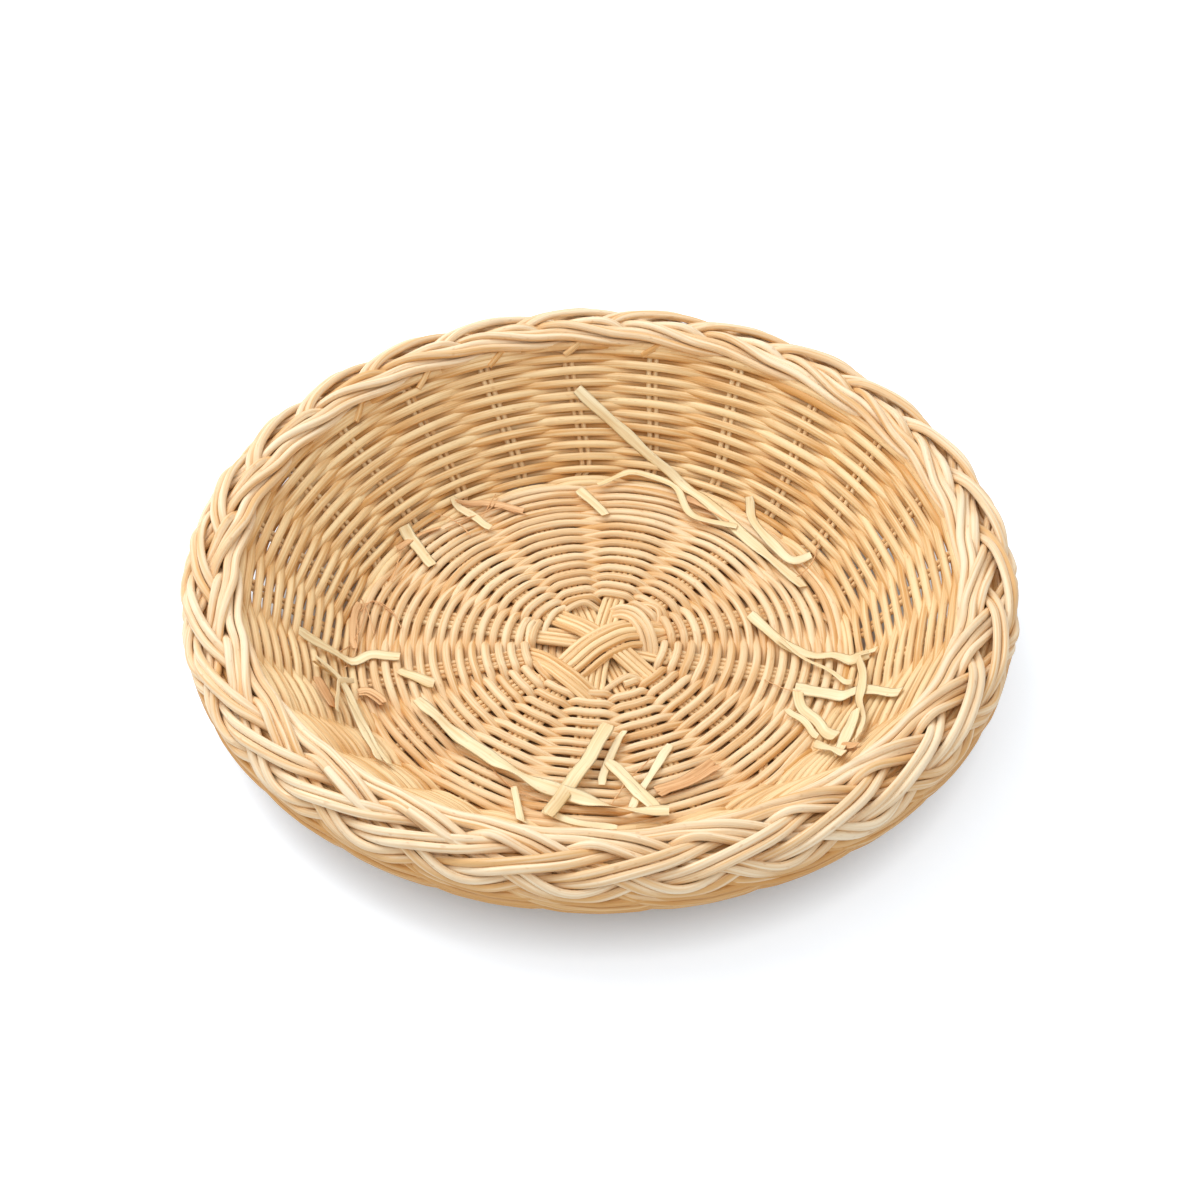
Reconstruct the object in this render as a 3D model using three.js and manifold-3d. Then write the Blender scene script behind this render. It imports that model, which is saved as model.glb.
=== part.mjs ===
// A round gift basket of woven rattan: a domed floor woven on thirteen ribs of four stakes, a flaring
// wall on twenty-six pairs of stakes, and a thick plaited border rolled over the wall's edge.
// Millimetres, +Z up, origin at the bottom centre. Azimuth 0 is the front (-Y), 90 is +X.
import * as THREE from 'three';
import { mergeVertices } from 'three/addons/utils/BufferGeometryUtils.js';
import Module from 'manifold-3d';

// Cane and clearance
const STAKE_WIDTH = 2.1;
const STAKE_THICKNESS = 1.7;
const WEAVER_THICKNESS = 2.25;
const CLEARANCE = 0.3;
const CHAMFER_SHARE = 0.4; // of a band's thickness, cut from its edges
const BOW = 0.7; // how much higher a band stands, in thicknesses, where it bends over another
const VALLEY_HALF = 1.3; // half the weave's thickness between the stakes, where it lies lower

// Floor
const FLOOR_RADIUS = 93; // corner between the floor's and the wall's upper faces
const SEAM_INSET = 4; // how far inside that corner the floor's weaver gives way to the wall's
const FLOOR_SEAM = FLOOR_RADIUS - SEAM_INSET;
const CENTRE_HOLE = 24.5; // inner edge of the floor weave, round the crossing
const DOME_RISE = 1.5;
const DOME_RADIUS = 62;
const RIB_AZIMUTHS = [22, 48, 77.5, 107, 137, 168, 198.5, 228, 255.5, 281.5, 304.5, 327, 353.5];
const STAKES_PER_RIB = 4;

// Crossing: pairs of ribs that are one bundle right across, and its place in the stack
const BUNDLES = [
  { ends: [3, 10], level: 2.5 },
  { ends: [1, 7], level: 1.5 },
  { ends: [12, 5], level: 0.5 },
  { ends: [2, 8], level: -0.5 },
  { ends: [0, 6], level: -1.5 },
  { ends: [11, 4], level: -2.5 },
];
const HALF_BUNDLE_RIB = 9;
const SETTLE_LENGTH = 14; // how far out a bundle needs to come down to the floor's own level
const HALF_BUNDLE_GAP = 2.5; // from the crossing to the half bundle's cut end

// Passes of cane that hold down the two ends of the topmost bundle
const BINDING_RADIUS = 19.5;
const BINDING_CANES = 3;
const BINDING_TILT = 25;
const BINDING_STEPS = 10;
const BINDINGS = [
  { over: 10, from: 283, to: 338 },
  { over: 3, from: 92, to: 150 },
];

// Wall
const WALL_SLOPE = 47.4; // degrees from the floor
const WALL_HEIGHT = 37; // rise of the weave's middle, from the floor's to the top edge's
const TOP_BEVEL = 2.6; // how far the inner face runs past the outer one, on each side of the middle
const STAKE_REACH = 0.2; // how far the stakes stand out of the weave, up to the border
const CHANNEL_RUN_OUT = 12; // how far the stakes' channels are cut past the wall's edge
const BEND_RADIUS = 8;
const SPLIT_RADIUS = 70; // where a rib's stakes part into two pairs
const SPLIT_OVERLAP = 4; // how far the rib and its two pairs run into each other there
const VALLEY_FADE = 5; // how far it takes a valley between stakes to reach its depth

// Border
const BORDER_UNITS = 26;
const ROLL_RADIUS = 11.3;
const STRAND_WIDTH = 7;
const STRAND_SPREAD = 3; // how much wider a strand is where it turns, at the plait's edges
const STRAND_THICKNESS = 2.2;
const PLAIT_SPAN = 3; // units that one strand runs through: over, under, over, under
const PLAIT_INNER = 145; // degrees round the roll, at the middle of a strand
const PLAIT_OUTER = -22;
const WAVE_SHARE = 1.15; // how far a strand rises and dives, in strand thicknesses
const PLAIT_LEAN = 18; // how far the middle of the plait is turned towards the inside
const STRAND_START = 0.42; // in units: a strand starts and ends under the ones that cross it
const STRAND_END = 0.5;
const STRAND_STEPS = 15;
const CORE_WIDTH = 6.4;
const CORE_HEIGHT = 13;
const CORE_IN = 1.5; // the core's centre is this far inside the roll's, and this far below it
const CORE_DOWN = 3.5;
const CORE_SCALLOP = 0.3;
const ROLL_GAP = 0.42; // from the weave to the roll: more than CLEARANCE, as both have flat facets
const TAIL_WIDTH = 3.4;
const TAIL_SCALLOP = 0.8;

// Loose filler strands
const FILLER_THICKNESS = 0.5;
const FILLER_STEP = 6;
const FILLER_LIFT = 0.5;
// Each route is a list of points, in shares of the floor's radius.
const FILLERS = [
  { width: 3.4, layer: 0,
    route: [[-0.097, 1.247], [0.172, 1.075], [0.419, 0.871], [0.624, 0.591], [0.828, 0.312]] },
  { width: 2.2, layer: 1,
    route: [
      [-0.011, 0.935], [0.108, 0.989], [0.226, 0.968], [0.323, 0.903], [0.387, 0.742], [0.57, 0.667],
    ] },
  { width: 3, layer: 0, route: [[-0.086, 0.914], [0.022, 0.753]] },
  { width: 3, layer: 0, route: [[0.602, 0.817], [0.667, 0.667], [0.774, 0.484], [0.871, 0.484]] },
  { width: 3, layer: 0, route: [[0.613, 0.14], [0.731, -0.032], [0.871, -0.129], [1.043, -0.14]] },
  { width: 1.8, layer: 1,
    route: [[0.71, -0.043], [0.817, -0.151], [0.882, -0.194], [0.946, -0.226]] },
  { width: 3.6, layer: 0,
    route: [[0.763, -0.269], [0.978, -0.323], [1.065, -0.452], [1.129, -0.57]] },
  { width: 3.2, layer: 1,
    route: [[1.022, -0.28], [1.011, -0.473], [0.989, -0.624], [0.957, -0.796]] },
  { width: 2.6, layer: 0, route: [[0.742, -0.387], [0.839, -0.484], [0.892, -0.624]] },
  { width: 3.4, layer: 2,
    route: [[-0.71, -0.344], [-0.516, -0.57], [-0.226, -0.796], [0.075, -0.914], [0.258, -0.925]] },
  { width: 2, layer: 0, route: [[-0.323, -0.785], [-0.312, -0.86], [-0.28, -1.075]] },
  { width: 4, layer: 3,
    route: [[0.032, -0.495], [-0.032, -0.645], [-0.118, -0.817], [-0.194, -0.957]] },
  { width: 2.2, layer: 0, route: [[0.086, -0.495], [0.043, -0.624], [0, -0.774]] },
  { width: 5, layer: 1, route: [[0.054, -0.72], [0.129, -0.817], [0.215, -0.903]] },
  { width: 2.4, layer: 0,
    route: [[0.269, -0.57], [0.204, -0.699], [0.151, -0.817], [0.118, -0.892]] },
  { width: 5, layer: 0, route: [[0.43, -0.699], [0.344, -0.774], [0.269, -0.86]] },
  { width: 3.4, layer: 0,
    route: [[-1.161, -0.129], [-1.032, -0.118], [-0.903, -0.086], [-0.785, -0.108]] },
  { width: 4.2, layer: 0,
    route: [[-1.086, -0.258], [-0.978, -0.333], [-0.903, -0.473], [-0.849, -0.624], [-0.806, -0.796]] },
  { width: 3, layer: 0, route: [[-0.892, -0.237], [-0.828, -0.344]] },
  { width: 4, layer: 0, route: [[-0.817, 0.634], [-0.763, 0.57], [-0.688, 0.441]] },
];

const CANE = 0xe3bd86;
const CANE_PALE = 0xefd3a6;
const CANE_TAN = 0xd9ab72;
const FILLER_PALE = 0xf0d998;
const FILLER_TAN = 0xcf9a62;

const wasm = await Module();
wasm.setup();

const radians = THREE.MathUtils.degToRad;
const up = new THREE.Vector3(0, 0, 1);

function outward(azimuth) {
  const a = radians(azimuth);
  return new THREE.Vector3(Math.sin(a), -Math.cos(a), 0);
}

function smooth(t) {
  const c = Math.min(Math.max(t, 0), 1);
  return c * c * (3 - 2 * c);
}

function steps(count, from, to) {
  return Array.from({ length: count + 1 }, (_, i) => from + (to - from) * i / count);
}

// Solids and geometries

function toSolid(geometry) {
  const bare = new THREE.BufferGeometry();
  bare.setAttribute('position', geometry.getAttribute('position').clone());
  if (geometry.index) {
    bare.setIndex(geometry.index.clone());
  }
  const merged = mergeVertices(bare, 1e-4);
  const vertProperties = Float32Array.from(merged.getAttribute('position').array);
  const triVerts = Uint32Array.from(merged.index.array);
  return new wasm.Manifold(new wasm.Mesh({ numProp: 3, vertProperties, triVerts }));
}

function toGeometry(solid) {
  const mesh = solid.getMesh();
  const geometry = new THREE.BufferGeometry();
  geometry.setAttribute('position', new THREE.BufferAttribute(mesh.vertProperties.slice(), 3));
  geometry.setIndex(new THREE.BufferAttribute(mesh.triVerts.slice(), 1));
  geometry.computeVertexNormals();
  return geometry;
}

function signedVolume(positions, index) {
  const [a, b, c] = [new THREE.Vector3(), new THREE.Vector3(), new THREE.Vector3()];
  let sum = 0;
  for (let i = 0; i < index.length; i += 3) {
    a.fromArray(positions, index[i] * 3);
    b.fromArray(positions, index[i + 1] * 3);
    c.fromArray(positions, index[i + 2] * 3);
    sum += a.dot(b.cross(c)) / 6;
  }
  return sum;
}

// A closed body from rings of points: capped at both ends, or joined end to end.
function skin(rings, closed = false) {
  const n = rings[0].length;
  const positions = rings.flat().flatMap((p) => [p.x, p.y, p.z]);
  const index = [];
  const last = closed ? rings.length : rings.length - 1;
  for (let i = 0; i < last; i += 1) {
    const next = (i + 1) % rings.length;
    for (let j = 0; j < n; j += 1) {
      const k = (j + 1) % n;
      index.push(i * n + j, i * n + k, next * n + k);
      index.push(i * n + j, next * n + k, next * n + j);
    }
  }
  if (!closed) {
    const end = (rings.length - 1) * n;
    for (let j = 1; j < n - 1; j += 1) {
      index.push(0, j + 1, j);
      index.push(end, end + j, end + j + 1);
    }
  }
  if (signedVolume(positions, index) < 0) {
    for (let i = 0; i < index.length; i += 3) {
      [index[i + 1], index[i + 2]] = [index[i + 2], index[i + 1]];
    }
  }
  const geometry = new THREE.BufferGeometry();
  geometry.setAttribute('position', new THREE.Float32BufferAttribute(positions, 3));
  geometry.setIndex(index);
  geometry.computeVertexNormals();
  return geometry;
}

// A flat band along a path. Each station has a point, the way its face looks, and a width.
function band(stations, thickness, isPlain = false) {
  const rings = stations.map(({ point, face, width }, i) => {
    const before = stations[Math.max(i - 1, 0)].point;
    const after = stations[Math.min(i + 1, stations.length - 1)].point;
    const along = after.clone().sub(before).normalize();
    const across = along.clone().cross(face).normalize();
    const normal = across.clone().cross(along).normalize();
    const half = width / 2;
    const flat = half - Math.min(thickness, width) * CHAMFER_SHARE;
    const square = [[-half, thickness], [half, thickness], [half, -thickness], [-half, -thickness]];
    const rounded = [
      [-half, 0], [-flat, thickness], [flat, thickness],
      [half, 0], [flat, -thickness], [-flat, -thickness],
    ];
    const section = (isPlain ? square : rounded).map(([x, z]) => [x, z / 2]);
    return section.map(([x, z]) => point.clone().addScaledVector(across, x).addScaledVector(normal, z));
  });
  return skin(rings);
}

// The weave's middle surface, as a meridian that runs out over the floor and up the wall

const WEAVE_THICKNESS = STAKE_THICKNESS + 2 * WEAVER_THICKNESS;
const slope = radians(WALL_SLOPE);
const cornerRadius = FLOOR_RADIUS + WEAVE_THICKNESS / 2 * Math.tan(slope / 2);
const bendCut = BEND_RADIUS * Math.tan(slope / 2);
const bendStart = cornerRadius - bendCut;
const bendLength = BEND_RADIUS * slope;
const wallStart = bendStart + bendLength;
const wallLength = WALL_HEIGHT / Math.sin(slope);
const wallEnd = wallStart + wallLength - bendCut;

function floorHeight(r) {
  const t = Math.min(r / DOME_RADIUS, 1);
  return WEAVE_THICKNESS / 2 + DOME_RISE * (1 - t * t) ** 2;
}

// Distance along the meridian gives radius, height and the upward normal in the meridian's plane.
function meridian(s) {
  if (s <= bendStart) {
    return { r: s, z: floorHeight(s), nr: 0, nz: 1 };
  }
  const turn = Math.min((s - bendStart) / BEND_RADIUS, slope);
  const run = Math.max(s - wallStart, 0);
  return {
    r: bendStart + BEND_RADIUS * Math.sin(turn) + run * Math.cos(slope),
    z: WEAVE_THICKNESS / 2 + BEND_RADIUS * (1 - Math.cos(turn)) + run * Math.sin(slope),
    nr: -Math.sin(turn),
    nz: Math.cos(turn),
  };
}

function onWeave(azimuth, s, lift = 0) {
  const m = meridian(s);
  return outward(azimuth).multiplyScalar(m.r + lift * m.nr).setZ(m.z + lift * m.nz);
}

function weaveFace(azimuth, s) {
  const m = meridian(s);
  return outward(azimuth).multiplyScalar(m.nr).setZ(m.nz);
}

// Ribs: how each bundle lies where it crosses the others, and how it parts at the floor's edge

const ribWidth = STAKES_PER_RIB * STAKE_WIDTH;
const pairWidth = 2 * STAKE_WIDTH;
const ribCount = RIB_AZIMUTHS.length;
const stackPitch = STAKE_THICKNESS + CLEARANCE;

function ribGap(i) {
  const next = RIB_AZIMUTHS[(i + 1) % ribCount];
  return (next - RIB_AZIMUTHS[i] + 360) % 360;
}

const narrowestGap = Math.min(...RIB_AZIMUTHS.map((_, i) => ribGap(i)));
const touchRadius = (ribWidth / 2 + CLEARANCE) / Math.sin(radians(narrowestGap / 2));
const stackRadius = (ribWidth / 2 + CLEARANCE) / Math.sin(radians(narrowestGap));
const settleRadius = touchRadius + SETTLE_LENGTH;

// Neighbouring bundles part by half a level each where they come together, then climb to their own.
function stackLift(level, r) {
  const side = Math.sign(level) * stackPitch / 2;
  const full = (level + 1) * stackPitch;
  if (r >= touchRadius) {
    return side * (1 - smooth((r - touchRadius) / (settleRadius - touchRadius)));
  }
  const t = (touchRadius - r) / (touchRadius - stackRadius);
  return side + (full - side) * smooth(t);
}

function ribStation(azimuth, r, level, grow) {
  const point = onWeave(azimuth, r);
  point.z += level === 0 ? 0 : stackLift(level, r);
  return { point, face: up, width: ribWidth + grow };
}

const ribStart = SPLIT_RADIUS + SPLIT_OVERLAP;
const crossingRadii = [
  ribStart,
  ...steps(2, (ribStart + settleRadius) / 2, touchRadius),
  ...steps(3, touchRadius, stackRadius),
].filter((r, i, all) => i === 0 || r < all[i - 1]);

// The four stakes of a rib part into two pairs: one holds the rib's azimuth, one goes half-way back
// to the rib before.
function pairStations(rib, isBetween, grow, reach) {
  const azimuth = RIB_AZIMUTHS[rib];
  const before = ribGap((rib - 1 + ribCount) % ribCount);
  const side = isBetween ? -1 : 1;
  const target = isBetween ? azimuth - before / 2 : azimuth;
  const from = SPLIT_RADIUS;
  const swing = wallStart + BEND_RADIUS / 2;
  const stops = [
    from - SPLIT_OVERLAP,
    ...steps(2, from + SPLIT_OVERLAP, bendStart),
    ...steps(2, bendStart, wallStart).slice(1),
    wallEnd + reach,
  ];
  return stops.map((s) => {
    const nearRib = azimuth + side * THREE.MathUtils.radToDeg(STAKE_WIDTH / meridian(s).r);
    const t = smooth((s - from) / (swing - from));
    const a = nearRib + (target - nearRib) * t;
    return { point: onWeave(a, s), face: weaveFace(a, s), width: pairWidth + grow };
  });
}

function ribSolids(rib, grow, reach) {
  const thickness = STAKE_THICKNESS + grow;
  return [true, false].map((isBetween) => {
    const stations = pairStations(rib, isBetween, grow, reach);
    return toSolid(band(stations, thickness, grow > 0));
  });
}

function bundleSolid({ ends, level }, grow = 0, reach = STAKE_REACH) {
  const [a, b] = ends.map((i) => RIB_AZIMUTHS[i]);
  const inward = crossingRadii.map((r) => ribStation(a, r, level, grow));
  const outwards = crossingRadii.map((r) => ribStation(b, r, level, grow)).reverse();
  const middle = {
    point: inward.at(-1).point.clone().add(outwards[0].point).multiplyScalar(0.5),
    face: up,
    width: ribWidth + grow,
  };
  const ribs = band([...inward, middle, ...outwards], STAKE_THICKNESS + grow, grow > 0);
  const parts = [toSolid(ribs), ...ends.flatMap((i) => ribSolids(i, grow, reach))];
  return wasm.Manifold.union(parts);
}

function halfBundleSolid(grow = 0, reach = STAKE_REACH) {
  const azimuth = RIB_AZIMUTHS[HALF_BUNDLE_RIB];
  const radii = steps(2, ribStart, touchRadius + HALF_BUNDLE_GAP - grow / 2);
  const stations = radii.map((r) => ribStation(azimuth, r, 0, grow));
  const rib = band(stations, STAKE_THICKNESS + grow, grow > 0);
  return wasm.Manifold.union([toSolid(rib), ...ribSolids(HALF_BUNDLE_RIB, grow, reach)]);
}

// Weave: a closed band of cane on each side of the stakes, with a channel for every stake. It swells
// over each rib or pair and sinks in a valley between them, as the weavers do.

const weaveAzimuths = RIB_AZIMUTHS.flatMap((azimuth, i) => {
  return [0, 1, 2, 3].map((quarter) => azimuth + ribGap(i) * quarter / 4);
});

function weaveBody(stops, isValley, topBevel = 0) {
  const side = (sign, azimuth, ring) => stops.map(({ s, sinks }, i) => {
    const half = sinks && isValley(ring) ? VALLEY_HALF : WEAVE_THICKNESS / 2;
    const isTop = i === stops.length - 1;
    return onWeave(azimuth, isTop ? s + sign * topBevel : s, sign * half);
  });
  const rings = weaveAzimuths.map((azimuth, ring) => {
    return [...side(-1, azimuth, ring), ...side(1, azimuth, ring).reverse()];
  });
  return toSolid(skin(rings, true));
}

function channels() {
  const grow = 2 * CLEARANCE;
  const all = BUNDLES.map((bundle) => bundleSolid(bundle, grow, CHANNEL_RUN_OUT));
  return wasm.Manifold.union([...all, halfBundleSolid(grow, CHANNEL_RUN_OUT)]);
}

const cutAway = channels();
const stop = (s, sinks = false) => ({ s, sinks });
const valleyStart = settleRadius;
const valleyEnd = ribStart;
const floorStops = [
  stop(CENTRE_HOLE),
  stop(valleyStart),
  stop(valleyStart + 2 * VALLEY_FADE, true),
  stop(DOME_RADIUS, true),
  stop(valleyEnd, true),
  stop(valleyEnd + VALLEY_FADE),
  stop(FLOOR_SEAM),
];
const wallStops = [
  stop(FLOOR_SEAM + CLEARANCE),
  ...steps(2, bendStart, wallStart).map((s) => stop(s)),
  stop(wallStart + VALLEY_FADE),
  stop(wallStart + 2 * VALLEY_FADE, true),
  stop(wallEnd - VALLEY_FADE, true),
  stop(wallEnd),
];
const floorWeave = weaveBody(floorStops, (ring) => ring % 4 === 2).subtract(cutAway);
const wallWeave = weaveBody(wallStops, (ring) => ring % 2 === 1, TOP_BEVEL).subtract(cutAway);

// Border: strands plaited round a roll on the wall's edge

const overLift = ROLL_RADIUS - STRAND_THICKNESS / 2;
const waveLift = WAVE_SHARE * STRAND_THICKNESS;
const plaitRadius = overLift - waveLift;
const plaitMiddle = (PLAIT_INNER + PLAIT_OUTER) / 2;
const plaitSwing = (PLAIT_INNER - PLAIT_OUTER) / 2;
const unitAngle = 360 / BORDER_UNITS;

// Where a strand lies round the roll, after u units of its run.
function strandPlace(u) {
  const phase = 2 * Math.PI * u / PLAIT_SPAN;
  return {
    around: plaitMiddle + plaitSwing * Math.cos(phase) + PLAIT_LEAN * Math.sin(phase) ** 2,
    radius: plaitRadius + waveLift * Math.sin(2 * phase),
    width: STRAND_WIDTH + STRAND_SPREAD * Math.max(0, Math.cos(2 * phase)) ** 2,
  };
}

// The roll rests on the bevelled top of the weave: its centre is as far from it as the strands
// reach that way where they turn on the inside.
const wallTop = meridian(wallEnd);
const bevelTurn = slope - Math.atan2(2 * TOP_BEVEL, WEAVE_THICKNESS);

function plaitReach() {
  const { around, radius, width } = strandPlace(0);
  const turn = radians(around) - bevelTurn;
  const outer = radius + STRAND_THICKNESS / 2;
  const shoulder = width / 2 - STRAND_THICKNESS * CHAMFER_SHARE;
  return -outer * Math.cos(turn) + shoulder * Math.sin(turn);
}

const rollSeat = plaitReach() + ROLL_GAP;
const rollCentre = {
  r: wallTop.r + rollSeat * Math.cos(bevelTurn),
  z: wallTop.z + rollSeat * Math.sin(bevelTurn),
};

function onRoll(azimuth, around, radius) {
  const p = radians(around);
  const r = rollCentre.r + radius * Math.cos(p);
  return outward(azimuth).multiplyScalar(r).setZ(rollCentre.z + radius * Math.sin(p));
}

function rollFace(azimuth, around) {
  const p = radians(around);
  return outward(azimuth).multiplyScalar(Math.cos(p)).setZ(Math.sin(p));
}

function borderStrand(unit) {
  const stations = steps(STRAND_STEPS, -STRAND_START, PLAIT_SPAN - STRAND_END).map((u) => {
    const azimuth = (unit + u) * unitAngle;
    const { around, radius, width } = strandPlace(u);
    return { point: onRoll(azimuth, around, radius), face: rollFace(azimuth, around), width };
  });
  return band(stations, STRAND_THICKNESS);
}

// The stakes' tails run round inside the foot of the roll; each lies over the next, as scallops.
function borderCore() {
  const rings = Array.from({ length: 2 * BORDER_UNITS }, (_, i) => {
    const swell = i % 2 === 0 ? CORE_SCALLOP : -CORE_SCALLOP;
    return Array.from({ length: 8 }, (_unused, j) => {
      const p = Math.PI * j / 4;
      const r = rollCentre.r - CORE_IN + (CORE_WIDTH / 2 + swell) * Math.cos(p);
      const z = rollCentre.z - CORE_DOWN + (CORE_HEIGHT / 2 + swell) * Math.sin(p);
      return outward(unitAngle * i / 2).multiplyScalar(r).setZ(z);
    });
  });
  return skin(rings, true);
}

// The rods' cut tails lie along the strands' lower edges, where these turn on the outside; each tail
// dips under the next, as scallops.
function borderTails() {
  const { around, radius, width } = strandPlace(PLAIT_SPAN / 2);
  const p = radians(around);
  const below = TAIL_WIDTH / 2 + CLEARANCE;
  const centre = {
    r: rollCentre.r + radius * Math.cos(p) + width / 2 * Math.sin(p),
    z: rollCentre.z + radius * Math.sin(p) - width / 2 * Math.cos(p) - below,
  };
  const rings = Array.from({ length: 2 * BORDER_UNITS }, (_, i) => {
    const rise = i % 2 === 0 ? TAIL_SCALLOP : 0;
    return Array.from({ length: 6 }, (_unused, j) => {
      const turn = Math.PI * j / 3;
      const r = centre.r + TAIL_WIDTH / 2 * Math.cos(turn);
      const z = centre.z + rise + TAIL_WIDTH / 2 * Math.sin(turn);
      return outward(unitAngle * i / 2).multiplyScalar(r).setZ(z);
    });
  });
  return skin(rings, true);
}

// Centre binding: flat passes of cane over the topmost bundle

function bindingPass({ over, from, to }) {
  const holds = RIB_AZIMUTHS[over];
  const width = BINDING_CANES * STAKE_WIDTH;
  const halfBundle = THREE.MathUtils.radToDeg((ribWidth / 2 + CLEARANCE) / BINDING_RADIUS);
  const tilt = radians(BINDING_TILT);
  const innerEdge = BINDING_RADIUS - width / 2 * Math.cos(tilt);
  const bundleTop = stackLift(BUNDLES[0].level, innerEdge) + STAKE_THICKNESS / 2;
  const crest = bundleTop + CLEARANCE + STAKE_THICKNESS * BOW - width / 2 * Math.sin(tilt);
  const low = stackPitch + STAKE_THICKNESS * BOW;
  const stations = steps(BINDING_STEPS, from, to).map((azimuth) => {
    const past = (Math.abs(azimuth - holds) - halfBundle) / halfBundle;
    const share = 1 - smooth(past);
    const point = outward(azimuth).multiplyScalar(BINDING_RADIUS);
    point.z = floorHeight(BINDING_RADIUS) + low + (crest - low) * share;
    const lean = Math.sin(tilt * share);
    const face = outward(azimuth).multiplyScalar(lean).setZ(Math.cos(tilt * share));
    return { point, face, width };
  });
  return band(stations, STAKE_THICKNESS);
}

// Filler strands: thin strips of wood wool left lying on the weave

// The weave's upper face at a radius, found along the meridian.
function upperFace(r) {
  const half = WEAVE_THICKNESS / 2;
  let low = 0;
  let high = wallEnd;
  for (let i = 0; i < 30; i += 1) {
    const middle = (low + high) / 2;
    const m = meridian(middle);
    if (m.r + half * m.nr < r) {
      low = middle;
    } else {
      high = middle;
    }
  }
  const m = meridian(low);
  return { z: m.z + half * m.nz, lean: Math.asin(-m.nr) };
}

function fillerStrand({ width, layer, route }) {
  const points = route.map(([x, y]) => new THREE.Vector3(x, y, 0).multiplyScalar(FLOOR_RADIUS));
  const curve = new THREE.CatmullRomCurve3(points);
  const count = Math.max(Math.round(curve.getLength() / FILLER_STEP), 2);
  const lift = FILLER_LIFT + FILLER_THICKNESS / 2 + layer * (FILLER_THICKNESS + FILLER_LIFT);
  const stations = curve.getSpacedPoints(count).map((flat) => {
    const { z, lean } = upperFace(flat.length());
    const away = flat.clone().normalize();
    const face = away.clone().multiplyScalar(-Math.sin(lean)).setZ(Math.cos(lean));
    const point = flat.clone().setZ(z).addScaledVector(face, lift);
    return { point, face, width };
  });
  return band(stations, FILLER_THICKNESS, true);
}

const part = new THREE.Group();

function add(name, geometry, color, roughness = 0.62) {
  const material = new THREE.MeshStandardMaterial({ color, roughness, metalness: 0 });
  const mesh = new THREE.Mesh(geometry, material);
  mesh.name = name;
  part.add(mesh);
}

add('floor_weave', toGeometry(floorWeave), CANE);
add('wall_weave', toGeometry(wallWeave), CANE_TAN);
BUNDLES.forEach((bundle, i) => {
  add(`base_stakes_${i + 1}`, toGeometry(bundleSolid(bundle)), CANE_PALE);
});
add('base_stakes_half', toGeometry(halfBundleSolid()), CANE_PALE);
for (let unit = 0; unit < BORDER_UNITS; unit += 1) {
  add(`border_strand_${String(unit + 1).padStart(2, '0')}`, borderStrand(unit), CANE_PALE);
}
add('border_core', borderCore(), CANE_TAN);
add('border_tails', borderTails(), CANE_TAN);
BINDINGS.forEach((binding, i) => {
  add(`centre_binding_${i + 1}`, bindingPass(binding), CANE_PALE);
});
FILLERS.forEach((filler, i) => {
  const color = filler.width > 4.5 ? FILLER_TAN : FILLER_PALE;
  add(`wood_wool_${String(i + 1).padStart(2, '0')}`, fillerStrand(filler), color, 0.8);
});

export default part;
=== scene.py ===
# %% [markdown]
# # A round gift basket of woven rattan
#
# The real basket is worked by hand from round rattan cane: stakes that cross at the middle of the
# floor, weavers that go round and round over and under them, and a thick plaited border made of the
# stakes' own ends. A few strips of wood wool are left lying in it.
#
# The CAD frame knows where each piece is and how big it is, but its weave is a closed band. Here
# every cane gets its own body. We keep the frame as it is and put each new piece where the frame
# has its own.

# %% The frame
import math

import bpy
import numpy as np
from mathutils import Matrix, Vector


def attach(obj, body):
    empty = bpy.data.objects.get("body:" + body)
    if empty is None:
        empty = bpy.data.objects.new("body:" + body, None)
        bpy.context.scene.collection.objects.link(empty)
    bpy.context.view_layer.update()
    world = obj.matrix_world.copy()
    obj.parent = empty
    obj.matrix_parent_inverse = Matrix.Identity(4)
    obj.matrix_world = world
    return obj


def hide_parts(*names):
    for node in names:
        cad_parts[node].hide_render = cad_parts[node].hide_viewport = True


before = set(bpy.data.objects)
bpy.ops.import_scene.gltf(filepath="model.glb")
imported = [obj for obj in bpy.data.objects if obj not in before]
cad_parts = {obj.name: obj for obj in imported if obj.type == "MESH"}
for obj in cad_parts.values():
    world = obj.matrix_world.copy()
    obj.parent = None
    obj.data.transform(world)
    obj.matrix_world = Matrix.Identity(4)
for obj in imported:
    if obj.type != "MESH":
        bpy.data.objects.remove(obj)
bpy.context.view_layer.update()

MM = 0.001

# %% [markdown]
# ## The camera
#
# The photograph looks about 44 degrees down with a long lens, so that the far rim is almost as wide
# as the near one. A camera could be turned by hand, but aiming it with a vector from where it stands
# to what it looks at keeps both places readable.

# %% Camera
CAMERA_PLACE = Vector((0, -0.7142, 0.7093))
CAMERA_AIM = Vector((0, 0, 0.028))
CAMERA_LENS = 81

camera_data = bpy.data.cameras.new("studio_camera")
camera_data.lens = CAMERA_LENS
camera_data.sensor_width = 36
camera = bpy.data.objects.new("studio_camera", camera_data)
camera.location = CAMERA_PLACE
camera.rotation_euler = (CAMERA_AIM - CAMERA_PLACE).to_track_quat("-Z", "Y").to_euler()
bpy.context.collection.objects.link(camera)
bpy.context.scene.camera = camera
bpy.context.scene.view_settings.view_transform = "Standard"
print("camera stands", round((CAMERA_AIM - CAMERA_PLACE).length, 3), "m away")

# %% [markdown]
# ## Nodes written as sums
#
# Both materials and Geometry Nodes are made of nodes. Adding each one by hand takes many lines: one to
# create it, and one more for each setting and each link. The class below does it in one call. A
# socket is given either a plain value, which is set on it, or another node's output, which is linked.

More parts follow.
